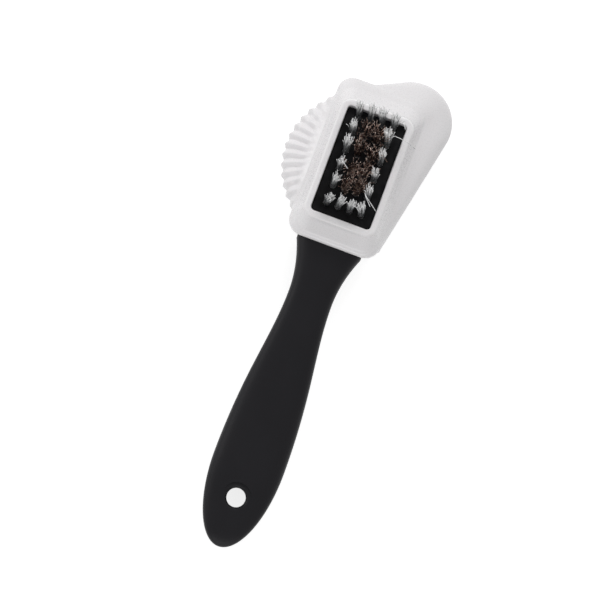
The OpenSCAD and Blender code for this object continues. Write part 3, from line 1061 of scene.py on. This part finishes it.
@dataclass
class RubberHead:
    """The white rubber head: block, window rim, ribbed wheel and smooth lobe in one skin.

    Attributes:
        rest: Height of the plane that the brush lies on.
        grip: The grip, whose collar sits in the head.
        plate_top: Height of the plate's face over the resting plane.
        block_w, block_len, block_h, block_r: The block's width, length, height and corner radius.
        back_r: Rounding of the back's edge.
        near_tilt: Lean of the near end in degrees.
        side_h, foot_h: Heights where the sides start to lean and where the bevels start.
        foot_side, foot_near, foot_far: How far the sides and ends have leaned in by then.
        foot_edge: Half width of the bevels' lower edge.
        lean_bow: How bowed the leaning sides are.
        lobe_side: How far the lobe's straight side starts out of the block.
        rim_w, rim_r: Width of the window's rim and rounding of its outer edge.
        wheel_r, wheel_x, wheel_y: The wheel's radius and place from the head's middle.
        wing_z, wing_gap: Heights of the middle and the underside of wheel and lobe.
        wheel_up, lobe_up: How far wheel and lobe rise over that middle.
        wing_fillet, fillet_share: The fillet against the block, and its share of the wing's reach.
        wing_turn: Half width of the change from wheel to lobe, as the cosine of the direction.
        wing_foot: The first shares of the wing's reach, close together in the fillet.
        rib_n, rib_depth, rib_span: The ribs' number, depth and angle in degrees.
        rib_round: How round the ribs' crests and pleats are.
        rib_from, rib_over: Shares of the wing's reach where the pleats start and over which they fade in.
        rib_fade, fillet_fade: Reach of the wing from which pleats and fillet are full.
        lobe_r, lobe_x, lobe_back: The lobe's radius and place.
        lobe_slope: Slope of the lobe's far side in degrees.
        window_w, window_len, window_r, window_y: The window's size, corners and place.
        lip_r: Rounding of the window's edge.
        highlight_reach: How far from the window's far end the painted highlight on that edge starts.
        wall_sink: How far the window's wall runs below the plate's face.
        collar_gap: Play round the grip's collar.
        collar_out, collar_over: How far its seat's cutter stands out of the head and runs past its end.
        blend: How softly the wings leave the block.
        wheel_square, lobe_square: How square the wings' sections are, where 2 is an ellipse.
        back_steps to wall_steps: Steps in the parts of a section, from the back to the window.
        rib_steps: Sections on a rib.
        plain_step, corner_step, corner_span: Degrees between other sections, and how wide a corner is.
    """

    rest: float
    grip: Grip
    plate_top: float
    block_w: float = 42.0
    block_len: float = 75.6
    block_h: float = 34.0
    block_r: float = 7.0
    back_r: float = 4.0
    near_tilt: float = 10.0
    side_h: float = 14.0
    foot_h: float = 25.0
    foot_side: float = 2.2
    foot_near: float = 2.1
    foot_far: float = 6.2
    foot_edge: float = 0.35
    lean_bow: float = 3.2
    lobe_side: float = 0.6
    rim_w: float = 3.2
    rim_r: float = 1.3
    wheel_r: float = 34.7
    wheel_x: float = 0.5
    wheel_y: float = 1.0
    wing_z: float = 11.5
    wing_gap: float = 4.3
    wheel_up: float = 8.0
    wing_fillet: float = 1.8
    fillet_share: float = 0.4
    fillet_fade: float = 6.0
    wing_turn: float = 0.3
    wing_foot: tuple[float, ...] = (0.03, 0.07)
    rib_n: int = 14
    rib_depth: float = 1.2
    rib_span: float = 112.0
    rib_round: float = 0.05
    rib_from: float = 0.04
    rib_over: float = 0.3
    rib_fade: float = 3.0
    lobe_r: float = 18.2
    lobe_x: float = 15.0
    lobe_back: float = 8.5
    lobe_up: float = 9.2
    lobe_slope: float = 30.0
    window_w: float = 26.9
    window_len: float = 48.6
    window_r: float = 1.8
    window_y: float = 10.1
    lip_r: float = 0.5
    highlight_reach: float = 3.5
    wall_sink: float = 2.5
    collar_gap: float = 0.05
    collar_out: float = 1.0
    collar_over: float = 0.1
    blend: float = 0.5
    wheel_square: float = 2.4
    lobe_square: float = 1.7
    back_steps: int = 9
    wing_steps: int = 13
    side_steps: int = 7
    bevel_steps: int = 6
    rim_steps: int = 7
    lip_steps: int = 5
    wall_steps: int = 4
    rib_steps: int = 18
    plain_step: float = 1.0
    corner_step: float = 0.4
    corner_span: float = 4.0

    def __post_init__(self) -> None:
        """Work out the places that follow from the sizes."""
        self.near = self.grip.grip_len
        self.far = self.near + self.block_len
        self.mid = (self.near + self.far) / 2
        edge = self.near + self.window_y
        self.window = Outline(self.window_w / 2, edge, edge + self.window_len, self.window_r)
        self.rim_foot = self.block_h - self.rim_r
        self.collar_top = self.grip.collar_z + self.grip.collar_t / 2
        self.lobe_y = self.far - self.lobe_back
        self.corner_x = self.block_w / 2 - self.block_r + self.lobe_side
        dx = self.lobe_x - self.corner_x
        dy = self.lobe_y - (self.near_end(self.wing_z) + self.block_r)
        self.lobe_run = math.hypot(dx, dy)
        lean = math.atan2(dx, dy) + math.asin((self.lobe_r - self.block_r) / self.lobe_run)
        self.lobe_normal = (math.cos(lean), -math.sin(lean))
        self.first_rib = 180 - self.rib_span / 2

    def lean(self, z: float, start: float) -> float:
        """Return how far the sides have leaned in at a height, as a share."""
        return (max(0.0, z - start) / (self.foot_h - start)) ** self.lean_bow

    def near_end(self, z: float) -> float:
        """Return where the near end lies at a height."""
        tilt = max(0.0, self.collar_top - z) * math.tan(math.radians(self.near_tilt))
        return self.near + tilt + self.foot_near * self.lean(z, self.collar_top)

    def block(self, z: float) -> Outline:
        """Work out the block's outline below the bevels.

        Args:
            z: Height over the resting plane.

        Returns:
            The outline.
        """
        drop = clamp((self.back_r - z) / self.back_r)
        inset = self.back_r * (1 - math.sqrt(1 - drop**2))
        return Outline(
            self.block_w / 2 - inset - self.foot_side * self.lean(z, self.side_h),
            self.near_end(z) + inset,
            self.far - inset - self.foot_far * self.lean(z, self.side_h),
            self.block_r,
        )

    def rim(self, inset: float) -> Outline:
        """Work out the rim's outer outline.

        Args:
            inset: How far it is drawn in.

        Returns:
            The outline.
        """
        return Outline(
            self.window.half + self.rim_w - inset,
            self.window.near - self.rim_w + inset,
            self.window.far + self.rim_w - inset,
            self.window.corner + self.rim_w - inset,
        )

    def outline(self, z: float) -> Outline:
        """Work out the block's outline at any height up to the rim.

        Args:
            z: Height over the resting plane.

        Returns:
            The outline.
        """
        if z <= self.foot_h:
            return self.block(z)
        if z <= self.rim_foot:
            share = (z - self.foot_h) / (self.rim_foot - self.foot_h)
            return self.block(self.foot_h).towards(self.rim(0.0), share)
        rise = (z - self.rim_foot) / self.rim_r
        return self.rim(self.rim_r * (1 - math.sqrt(max(0.0, 1 - rise**2))))

    def disc_reach(self, x: float, y: float, r: float, a: float) -> float:
        """Measure the way to the far side of a disc.

        Args:
            x: Place of the disc's middle across the brush.
            y: Its distance from the hanging hole.
            r: Its radius.
            a: Direction in radians from the head's middle.

        Returns:
            The distance from the head's middle, or 0 where the ray misses the disc.
        """
        py = y - self.mid
        along = math.cos(a) * x + math.sin(a) * py
        rest = along**2 - x * x - py * py + r * r
        return max(0.0, along + math.sqrt(rest)) if rest > 0 else 0.0

    def tangent_reach(self, a: float) -> float:
        """Measure the way to the lobe's straight side.

        Args:
            a: Direction in radians from the head's middle.

        Returns:
            The distance from the head's middle, or 0 beside that side.
        """
        nx, ny = self.lobe_normal
        facing = nx * math.cos(a) + ny * math.sin(a)
        if facing <= GRAZING:
            return 0.0
        reach = (nx * self.lobe_x + ny * (self.lobe_y - self.mid) + self.lobe_r) / facing
        dx, dy = reach * math.cos(a) - self.lobe_x, reach * math.sin(a) + self.mid - self.lobe_y
        return reach if -self.lobe_run < -ny * dx + nx * dy < 0 else 0.0

    def slope_reach(self, a: float) -> float:
        """Measure the way to the lobe's straight far side.

        Args:
            a: Direction in radians from the head's middle.

        Returns:
            The distance from the head's middle, or 0 beside that side.
        """
        nx, ny = -math.sin(math.radians(self.lobe_slope)), math.cos(math.radians(self.lobe_slope))
        facing = nx * math.cos(a) + ny * math.sin(a)
        if facing <= GRAZING:
            return 0.0
        out = self.lobe_y - self.mid
        reach = (nx * self.lobe_x + ny * out + self.lobe_r) / facing
        along = ny * (self.lobe_x - reach * math.cos(a)) - nx * (out - reach * math.sin(a))
        return reach if along > 0 and reach * math.cos(a) > -self.corner_x else 0.0

    def wing_out(self, a: float) -> float:
        """Work out how far the wheel or the lobe stands out of the block.

        Args:
            a: Direction in radians from the head's middle.

        Returns:
            The reach, or 0 where neither stands out.
        """
        if math.cos(a) < 0:
            wheel = self.disc_reach(self.wheel_x, self.mid + self.wheel_y, self.wheel_r, a)
            reach = max(wheel, self.slope_reach(a))
        else:
            lobe = self.disc_reach(self.lobe_x, self.lobe_y, self.lobe_r, a)
            reach = max(lobe, self.tangent_reach(a), self.slope_reach(a))
        d = reach - self.outline(self.wing_z).reach(self.mid, a)
        return 0.0 if d <= 0 else d * (1 - math.exp(-d / self.blend))

    def rib_cut(self, a: float) -> float:
        """Work out how deep the pleat between two ribs is.

        Args:
            a: Direction in radians from the head's middle.

        Returns:
            The depth, 0 on a crest and off the ribs.
        """
        degrees = math.degrees(a) % 360
        if not self.first_rib < degrees < self.first_rib + self.rib_span:
            return 0.0
        phase = (degrees - self.first_rib) / self.rib_span * self.rib_n
        crest = abs(2 * (phase - math.floor(phase)) - 1)
        crest = crest - self.rib_round * math.sin(math.tau * crest)
        return self.rib_depth * (1 - crest) * clamp(self.wing_out(a) / self.rib_fade)

    def wing_point(self, a: float, share: float, side: int) -> tuple[float, float]:
        """Work out a point of the wing's section.

        Args:
            a: Direction in radians.
            share: Share of the wing's reach, from 0 at the block to 1 at its rim.
            side: 1 above the wing's middle, -1 below it.

        Returns:
            Distance from the head's middle and height over the resting plane.
        """
        lobe = smooth((math.cos(a) + self.wing_turn) / (2 * self.wing_turn))
        square = mix(self.wheel_square, self.lobe_square, lobe)
        rise = mix(self.wheel_up, self.lobe_up, lobe) if side > 0 else self.wing_z - self.wing_gap
        z = self.wing_z + side * rise * max(0.0, 1 - share**square) ** (1 / square)
        out = self.wing_out(a)
        pleat = self.rib_cut(a) * smooth((share - self.rib_from) / self.rib_over)
        soft = self.wing_fillet * max(0.0, 1 - share / self.fillet_share) ** 2
        soft *= clamp(out / self.fillet_fade)
        lift = soft - pleat * math.sqrt(1 - share * share) if side > 0 else 0.0
        return self.outline(z + lift).reach(self.mid, a) + out * share - pleat * share, z + lift

    def section(self, a: float) -> list[tuple[float, float]]:
        """Work out the head's section, from the back up over the rim into the window.

        Args:
            a: Direction in radians.

        Returns:
            Points as distance from the head's middle and height over the resting plane.
        """
        heights = [self.back_r * (1 - math.cos(t)) for t in quarter_turn(self.back_steps)]
        points = [(self.outline(z).reach(self.mid, a), z) for z in heights]
        shares = [0.0, *self.wing_foot] + [math.sin(t) for t in quarter_turn(self.wing_steps)][1:]
        points += [self.wing_point(a, share, -1) for share in shares]
        points += [self.wing_point(a, share, 1) for share in reversed(shares[:-1])]
        start = max(z for _, z in points)
        heights = even_steps(start, self.foot_h, self.side_steps)[1:-1]
        heights += [self.foot_h - self.foot_edge, self.foot_h, self.foot_h + self.foot_edge]
        heights += even_steps(self.foot_h, self.rim_foot, self.bevel_steps)[1:-1]
        heights += [self.rim_foot + self.rim_r * math.sin(t) for t in quarter_turn(self.rim_steps)]
        points += [(self.outline(z).reach(self.mid, a), z) for z in heights]
        for t in quarter_turn(self.lip_steps):
            edge = self.window.shrunk(-self.lip_r * (1 - math.sin(t)))
            points.append((edge.reach(self.mid, a), self.block_h - self.lip_r * (1 - math.cos(t))))
        floor = self.plate_top - self.wall_sink
        heights = even_steps(self.block_h - self.lip_r, floor, self.wall_steps)[1:]
        return points + [(self.window.reach(self.mid, a), z) for z in heights]

    def angles(self) -> list[float]:
        """Choose the directions of the sections, closer together on the ribs and at the corners.

        Returns:
            The directions in radians.
        """
        start, span = self.first_rib, self.rib_span
        ribs = self.rib_n * self.rib_steps
        degrees = [start + span * i / ribs for i in range(ribs)]
        corners = [
            math.degrees(math.atan2(y - self.mid, side * (shape.half - shape.corner / 2))) % 360
            for shape in (self.window, self.block(self.side_h))
            for side in (-1, 1)
            for y in (shape.near + shape.corner / 2, shape.far - shape.corner / 2)
        ]
        at = start + span
        while at < start + 360 - 1e-6:
            degrees.append(at)
            near_corner = any(abs((at - c + 180) % 360 - 180) < self.corner_span for c in corners)
            at += self.corner_step if near_corner else self.plain_step
        return [math.radians(d % 360) for d in degrees]

    def build(self, material: Material) -> Piece:
        """Model the head and dress it.

        Args:
            material: The rubber's finish.

        Returns:
            The finished piece.
        """
        angles = self.angles()
        rings = [
            [
                (out * math.cos(a), self.mid + out * math.sin(a), self.rest + z)
                for a, (out, z) in zip(angles, level)
            ]
            for level in zip(*(self.section(a) for a in angles))
        ]
        piece = loft("rubber_head_skin", rings)
        seat = (self.near - self.collar_out, self.near + self.grip.collar_sink + self.collar_over)
        cut(piece, loft("collar_cutter", [self.grip.ring(y, self.collar_gap) for y in seat]))
        smooth_shade(piece, angle=50.0)
        dress(piece, material)
        hand_over(piece, Slot.RUBBER, "rubber_head")
        return piece


# ---------------------------------------------------------------- plate and tufts


class BristlePlate:
    """The black plate with its tuft holes and the anchors inside them."""

    def dress(self, plate: Material, steel: Material) -> None:
        """Give the plate and the anchors their finishes."""
        dress(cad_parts["bristle_plate"], plate)
        dress(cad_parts["tuft_anchors"], steel)

    def top(self) -> float:
        """Return the height of the plate's face in millimetres."""
        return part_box("bristle_plate")[1].z / MM


@dataclass(frozen=True)
class Strand:
    """How the filaments of one kind are cut, spread and bent.

    Attributes:
        count: Filaments in a tuft.
        d: Diameter in millimetres.
        length: Free length over the plate in millimetres.
        sides: Sides of the modelled filament.
        steps: Steps along it.
        spread: How far the outermost tips stand out of the root, in millimetres.
        scatter: How far tips stray at random, in millimetres.
        wild: How far a wild filament's tip strays, in scatters.
        crimp: Half height of the wire's waves, in millimetres.
        waves: Waves along the filament.
    """

    count: int
    d: float
    length: float
    sides: int
    steps: int
    spread: float
    scatter: float
    wild: float
    crimp: float = 0.0
    waves: float = 0.0


STRANDS = {
    Filament.NYLON: Strand(44, 0.27, 14.5, 5, 9, 0.6, 0.34, 2.3),
    Filament.BRASS: Strand(56, 0.17, 13.4, 4, 14, 2.2, 1.05, 1.5, 0.22, 2.4),
}


@dataclass
class TuftField:
    """The grid of tufts: nylon round the edge, brass in the middle.

    Attributes:
        plate_top: Height of the plate's face.
        window: The window that the plate fills.
        cols, rows: Tufts across and along the plate.
        side_margin, near_margin, far_margin: From the window's edge to the first holes' middles.
        hole_r: Radius of a tuft hole.
        seed: Start of the random draws.
        sink: How deep in its hole a filament starts.
        turn_stray: How far a filament's direction strays, in radians.
        fans: Least and greatest share of the spread that a filament takes.
        wild_share: Share of the filaments that are wild.
        calm: How far the others' tips stray, in scatters.
        cut_stray: How unevenly the filaments are cut, as a share of their length.
        bends: Least and greatest power of a filament's bend.
        hook_bend: Power of the hook at its tip.
        wave_rise: How fast a wire's waves grow over the plate.
        stray_rise: How far a long stray filament first rises straight up.
        leans: How far a tuft's tips lean over, in millimetres, by row and column.
        spreads: How widely a tuft opens, by row and column.
        strays: Long filaments that stand out of a tuft: column, row and the places they pass.
    """

    plate_top: float
    window: Outline
    cols: int = 4
    rows: int = 6
    side_margin: float = 5.65
    near_margin: float = 5.6
    far_margin: float = 2.7
    hole_r: float = 1.5
    seed: int = 7
    sink: float = 1.0
    turn_stray: float = 0.35
    fans: tuple[float, float] = (0.1, 1.5)
    wild_share: float = 0.14
    calm: float = 0.9
    cut_stray: float = 0.055
    bends: tuple[float, float] = (1.2, 2.2)
    hook_bend: float = 4.0
    wave_rise: float = 4.0
    stray_rise: float = 5.0
    leans: tuple = (
        ((0.9, 0.1), (0.7, 0.9), (-0.1, 0.9), (-1.4, 0.9)),
        ((0.3, 0.8), (0.6, 0.2), (0.7, 1.2), (-0.6, 0.9)),
        ((-0.2, 0.3), (0.9, -0.9), (0.7, 0.8), (-0.9, 0.7)),
        ((-0.7, 2.1), (-0.7, 2.3), (1.0, 0.8), (-0.8, 1.5)),
        ((-0.9, 1.1), (0.4, 1.3), (1.1, 1.1), (-1.5, 2.5)),
        ((-1.2, 1.6), (-0.9, 2.1), (-1.4, 2.3), (-0.6, 1.9)),
    )
    spreads: tuple = (
        (0.95, 0.6, 0.55, 0.8),
        (0.7, 1.0, 1.0, 0.9),
        (0.7, 1.0, 1.0, 0.8),
        (1.0, 0.85, 1.0, 0.7),
        (0.75, 1.0, 1.0, 1.0),
        (1.0, 1.0, 1.0, 1.0),
    )
    strays: tuple = (
        (3, 4, ((8.7, 163.9, 36.0), (12.8, 164.2, 35.0), (16.3, 163.8, 33.5), (19.6, 163.0, 32.0))),
        (3, 1, ((6.2, 136.9, 34.5), (7.6, 135.2, 35.6), (10.2, 133.4, 35.0), (12.9, 131.5, 34.0))),
        (3, 1, ((6.0, 137.4, 34.6), (6.6, 135.8, 35.6), (8.4, 134.0, 35.0), (10.0, 132.4, 34.2))),
        (0, 3, ((-8.2, 147.0, 35.0), (-7.2, 146.2, 36.2), (-5.9, 145.1, 36.2), (-4.4, 144.1, 35.6))),
        (3, 5, ((9.5, 171.5, 35.0), (11.2, 170.6, 36.5), (12.6, 168.2, 37.0))),
    )

    def place(self, col: int, row: int) -> tuple[float, float]:
        """Place a tuft hole.

        Args:
            col: Column of the tuft.
            row: Row of the tuft.

        Returns:
            Its places across and along the brush.
        """
        pitch_x = (2 * self.window.half - 2 * self.side_margin) / (self.cols - 1)
        field_len = self.window.far - self.window.near - self.near_margin - self.far_margin
        pitch_y = field_len / (self.rows - 1)
        x = (col - (self.cols - 1) / 2) * pitch_x
        return x, self.window.near + self.near_margin + row * pitch_y

    def is_outer(self, col: int, row: int) -> bool:
        """Return whether a cell is on the grid's edge."""
        return col in (0, self.cols - 1) or row in (0, self.rows - 1)

    def template(self, kind: Filament) -> Mesh:
        """Model one straight filament by extruding a circle step by step.

        Args:
            kind: Nylon or brass.

        Returns:
            A mesh with a radius of 1 whose height runs from 0 to the number of steps.
        """
        strand = STRANDS[kind]
        deselect()
        bpy.ops.mesh.primitive_circle_add(vertices=strand.sides, radius=1.0, fill_type="NGON")
        piece = bpy.context.object
        bpy.ops.object.mode_set(mode="EDIT")
        bpy.ops.mesh.select_mode(type="FACE")
        bpy.ops.mesh.select_all(action="SELECT")
        for _ in range(strand.steps):
            bpy.ops.mesh.extrude_region_move(TRANSFORM_OT_translate={"value": (0.0, 0.0, 1.0)})
        bpy.ops.mesh.select_all(action="SELECT")
        bpy.ops.mesh.normals_make_consistent(inside=False)
        bpy.ops.object.mode_set(mode="OBJECT")
        mesh = piece.data.copy()
        bpy.data.objects.remove(piece)
        return mesh

    def path(self, rng: random.Random, kind: Filament, i: int, col: int, row: int) -> Ring:
        """Lead one filament of a tuft from its hole to its tip.

        Args:
            rng: Source of the tuft's scatter.
            kind: Nylon or brass.
            i: Number of the filament in its tuft.
            col: Column of the tuft.
            row: Row of the tuft.

        Returns:
            Points from inside the hole to the tip, in millimetres.
        """
        strand = STRANDS[kind]
        x, y = self.place(col, row)
        lean_x, lean_y = self.leans[row][col]
        tight = self.spreads[row][col]
        share = math.sqrt((i + 0.5) / strand.count)
        turn = math.radians(GOLDEN_ANGLE * i) + rng.uniform(-self.turn_stray, self.turn_stray)
        root = share * (self.hole_r - strand.d)
        out = tight * share * strand.spread * rng.uniform(*self.fans)
        scatter = tight * strand.scatter * (strand.wild if rng.random() < self.wild_share else self.calm)
        tip_x = lean_x + out * math.cos(turn) + rng.gauss(0, scatter)
        tip_y = lean_y + out * math.sin(turn) + rng.gauss(0, scatter)
        hook_x, hook_y = rng.gauss(0, scatter), rng.gauss(0, scatter)
        length = strand.length * (1 - abs(rng.gauss(0, self.cut_stray)))
        drop = length - math.sqrt(max(1.0, length**2 - math.hypot(tip_x, tip_y) ** 2))
        phase = rng.uniform(0, math.tau)
        power = rng.uniform(*self.bends)
        points = []
        for s in range(strand.steps + 1):
            t = s / strand.steps
            risen = t * (length + self.sink)
            free = max(0.0, (risen - self.sink) / length)
            bend, hook = free**power, free**self.hook_bend
            wave = strand.crimp * min(1.0, self.wave_rise * free)
            swing = phase + t * strand.waves * math.tau
            points.append(
                (
                    x + root * math.cos(turn) + tip_x * bend + hook_x * hook + wave * math.sin(swing),
                    y + root * math.sin(turn) + tip_y * bend + hook_y * hook + wave * math.cos(swing),
                    self.plate_top - self.sink + risen - drop * bend,
                )
            )
        return points

    def stray(self, kind: Filament, col: int, row: int, marks: Sequence[Point]) -> Ring:
        """Lead a long filament out of its tuft through given places.

        Args:
            kind: Nylon or brass.
            col: Column of the tuft.
            row: Row of the tuft.
            marks: The places.

        Returns:
            Points from inside the hole to the tip.
        """
        x, y = self.place(col, row)
        knots = [(x, y, self.plate_top - self.sink), (x, y, self.plate_top + self.stray_rise)]
        knots += marks
        steps = STRANDS[kind].steps
        spans = len(knots) - 1
        points = []
        for s in range(steps + 1):
            at = s / steps * spans
            k = min(int(at), spans - 1)
            t = at - k
            p0, p1, p2, p3 = (Vector(knots[max(0, min(spans, k + j))]) for j in (-1, 0, 1, 2))
            square = 2 * p0 - 5 * p1 + 4 * p2 - p3
            cube = 3 * p1 - p0 - 3 * p2 + p3
            points.append(tuple(0.5 * (2 * p1 + (p2 - p0) * t + square * t**2 + cube * t**3)))
        return points

    def tube(self, mesh: Mesh, points: Ring, d: float) -> tuple[list, list]:
        """Bend a filament template along a path.

        Args:
            mesh: The straight filament.
            points: Places along the filament, one for each of its rings.
            d: Diameter in millimetres.

        Returns:
            Vertices and faces of the bent filament.
        """
        last = len(points) - 1
        frames = []
        for s, point in enumerate(points):
            way = (Vector(points[min(last, s + 1)]) - Vector(points[max(0, s - 1)])).normalized()
            side = way.cross(ALONG if abs(way.y) < NEARLY_ALONG else ACROSS).normalized()
            frames.append((Vector(point), side, way.cross(side)))
        verts = []
        for vertex in mesh.vertices:
            place, side, front = frames[round(vertex.co.z)]
            verts.append(tuple((place + (side * vertex.co.x + front * vertex.co.y) * (d / 2)) * MM))
        return verts, [tuple(face.vertices) for face in mesh.polygons]

    def tuft(self, name: str, kind: Filament, col: int, row: int, template: Mesh) -> Piece:
        """Model one tuft from bent copies of a filament.

        Args:
            name: Name of the piece.
            kind: Nylon or brass.
            col: Column of the tuft.
            row: Row of the tuft.
            template: The straight filament.

        Returns:
            The finished mesh object.
        """
        strand = STRANDS[kind]
        rng = random.Random(self.seed * 1000 + col * 31 + row * 101)
        paths = [self.path(rng, kind, i, col, row) for i in range(strand.count)]
        paths += [self.stray(kind, c, r, marks) for c, r, marks in self.strays if (c, r) == (col, row)]
        verts, faces = [], []
        for points in paths:
            more, shape = self.tube(template, points, strand.d)
            base = len(verts)
            verts += more
            faces += [tuple(base + v for v in f) for f in shape]
        mesh = bpy.data.meshes.new(name)
        mesh.from_pydata(verts, [], faces)
        mesh.update()
        piece = bpy.data.objects.new(name, mesh)
        bpy.context.scene.collection.objects.link(piece)
        return piece

    def build(self, nylon: Material, brass: Material) -> None:
        """Model all tufts and dress them.

        Args:
            nylon: Finish of the nylon filaments.
            brass: Finish of the brass wires.
        """
        looks = {Filament.NYLON: (nylon, Slot.NYLON), Filament.BRASS: (brass, Slot.BRASS)}
        templates = {kind: self.template(kind) for kind in Filament}
        counts = {kind: 0 for kind in Filament}
        for row in range(self.rows):
            for col in range(self.cols):
                kind = Filament.NYLON if self.is_outer(col, row) else Filament.BRASS
                counts[kind] += 1
                node = f"{kind.value}_tuft_{counts[kind]:02d}"
                piece = self.tuft(f"{node}_filaments", kind, col, row, templates[kind])
                smooth_shade(piece, angle=60.0)
                dress(piece, looks[kind][0])
                hand_over(piece, looks[kind][1], node)


# ---------------------------------------------------------------- studio


def shown_rays(sheet: NodeSheet) -> Socket:
    """Mask the rays that show a surface and don't only carry its light.

    Args:
        sheet: Sheet of the floor's or the world's nodes.

    Returns:
        The mask.
    """
    paths = sheet.add("ShaderNodeLightPath")
    seen = sheet.math("MAXIMUM", paths.outputs["Is Camera Ray"], paths.outputs["Is Glossy Ray"])
    return sheet.math("MAXIMUM", seen, paths.outputs["Is Transmission Ray"])


@dataclass(frozen=True)
class SoftBox:
    """An area lamp that faces the brush's head.

    Attributes:
        name: Name of the lamp.
        place: Its place in metres.
        size: Its width and height in metres.
        watts: Its power.
    """

    name: str
    place: Point
    size: tuple[float, float]
    watts: float

    def build(self, aim: Point) -> None:
        """Stand the lamp in its place.

        Args:
            aim: The point that the lamp faces, in metres.
        """
        data = bpy.data.lights.new(self.name, "AREA")
        data.shape = "RECTANGLE"
        data.size, data.size_y = self.size
        data.energy = self.watts
        lamp = bpy.data.objects.new(self.name, data)
        lamp.location = self.place
        way = Vector(aim) - Vector(self.place)
        lamp.rotation_euler = way.to_track_quat("-Z", "Y").to_euler()
        bpy.context.scene.collection.objects.link(lamp)


@dataclass
class Studio:
    """Floor, lamps, world and camera of a plain product photograph.

    Attributes:
        rest: Height of the plane that the brush lies on, in millimetres.
        aim: Point in millimetres that the camera faces, over that plane.
        distance: From the camera to that point, in millimetres.
        tilt, roll: How far the camera leans from straight above and turns about its own axis, in degrees.
        pixel, frame_px: Millimetres that a picture point shows, and picture points across.
        sensor: Width of the camera's sensor in millimetres.
        head: Point in metres that the lamps face.
        floor_size, floor_y: The floor's width and its middle's place, in metres.
        floor_gap: How far the floor lies under the brush, in metres.
        floor_tone, floor_glow: The floor's matt tone and its own light.
        world_tone: Strength of the surroundings' light.
        lamps: The soft boxes.
    """

    rest: float
    aim: Point = (-3.87, 89.37, 12.0)
    distance: float = 650.0
    tilt: float = 8.0
    roll: float = 20.42
    pixel: float = 0.435
    frame_px: int = 600
    sensor: float = 36.0
    head: Point = (0.0, 0.13, 0.0)
    floor_size: float = 6.0
    floor_y: float = 0.09
    floor_gap: float = 0.0002
    floor_tone: float = 0.42
    floor_glow: float = 0.8
    world_tone: float = 0.42
    lamps: tuple[SoftBox, ...] = (
        SoftBox("strip_far", (0.02, 1.0, 0.82), (1.1, 0.25), 6.6),
        SoftBox("soft_box_left", (-1.15, 0.2, 0.38), (0.9, 0.5), 4.6),
        SoftBox("soft_box_near", (0.15, -1.0, 0.36), (1.2, 0.5), 5.0),
    )

    def camera(self) -> None:
        """Place the camera at the photograph's viewing angle."""
        tilt, roll = math.radians(self.tilt), math.radians(self.roll)
        look = Vector((0.0, math.sin(tilt), -math.cos(tilt)))
        up = Vector((0.0, math.cos(tilt), math.sin(tilt)))
        cam_right = ACROSS * math.cos(roll) + up * math.sin(roll)
        cam_up = up * math.cos(roll) - ACROSS * math.sin(roll)
        aim = Vector((self.aim[0], self.aim[1], self.aim[2] + self.rest))
        place = (aim - look * self.distance) * MM
        data = bpy.data.cameras.new("camera")
        data.sensor_width = self.sensor
        data.lens = self.sensor * self.distance / (self.frame_px * self.pixel)
        data.clip_start, data.clip_end = 0.01, 20.0
        camera = bpy.data.objects.new("camera", data)
        basis = Matrix((cam_right, cam_up, -look)).transposed().to_4x4()
        camera.matrix_world = Matrix.Translation(place) @ basis
        bpy.context.scene.collection.objects.link(camera)
        bpy.context.scene.camera = camera

    def floor(self) -> None:
        """Lay a white floor under the brush that keeps its shadow."""
        deselect()
        place = (0.0, self.floor_y, self.rest * MM - self.floor_gap)
        bpy.ops.mesh.primitive_plane_add(size=self.floor_size, location=place)
        floor = bpy.context.object
        floor.name = "floor"
        material, sheet, _, output = start_material("floor_white")
        strength = sheet.math("MULTIPLY", shown_rays(sheet), self.floor_glow)
        matt = sheet.add("ShaderNodeBsdfDiffuse", Color=(self.floor_tone,) * 3 + (1.0,))
        glow = sheet.add("ShaderNodeEmission", Strength=strength)
        both = sheet.add("ShaderNodeAddShader")
        sheet.tree.links.new(matt.outputs[0], both.inputs[0])
        sheet.tree.links.new(glow.outputs[0], both.inputs[1])
        sheet.tree.links.new(both.outputs[0], output.inputs["Surface"])
        dress(floor, material)

    def world(self) -> None:
        """Fill the surroundings with plain pale light, white where the camera or a reflection sees it."""
        world = bpy.data.worlds.new("surroundings")
        bpy.context.scene.world = world
        world.use_nodes = True
        world.node_tree.nodes.clear()
        sheet = NodeSheet(world.node_tree)
        strength = sheet.remap(shown_rays(sheet), 0.0, 1.0, self.world_tone, 1.0)
        light = sheet.add("ShaderNodeBackground", Color=(1.0, 1.0, 1.0, 1.0), Strength=strength)
        output = sheet.add("ShaderNodeOutputWorld")
        sheet.tree.links.new(light.outputs[0], output.inputs["Surface"])

    def build(self) -> None:
        """Set up the floor, the light and the camera."""
        self.floor()
        for lamp in self.lamps:
            lamp.build(self.head)
        self.world()
        self.camera()
        bpy.context.scene.view_settings.view_transform = "Standard"


def main() -> None:
    """Build the brush piece by piece, then the studio."""
    logging.basicConfig(level=logging.INFO, format="%(name)s %(message)s")
    groups = Groups.build()
    rest = CAD_BOX[0].z / MM
    plate = BristlePlate()
    plate_top = plate.top()
    grip = Grip(rest)
    head = RubberHead(rest, grip, plate_top - rest)
    tufts = TuftField(plate_top, head.window)
    # Heights of the painted highlight along the rim's far edge, and where it starts along the brush.
    rim_low, rim_high = ((rest + h) * MM for h in (head.rim_foot, head.block_h))
    highlight_near = (head.window.far - head.highlight_reach) * MM
    grip.build(MouldedPlastic("grip_black").build(groups))
    head.build(SoftRubber("rubber_white", rim_low, rim_high, highlight_near).build(groups))
    plate_black = MouldedPlastic("plate_black", (0.0036, 0.0036, 0.0038, 1.0), rough=0.6, specular=0.05)
    plate.dress(plate_black.build(groups), DrawnSteel("anchor_steel").build(groups))
    nylon, brass = nylon_finish(plate_top * MM), brass_finish(plate_top * MM)
    tufts.build(nylon.build(groups), brass.build(groups))
    Studio(rest).build()


if __name__ == "__main__":
    main()
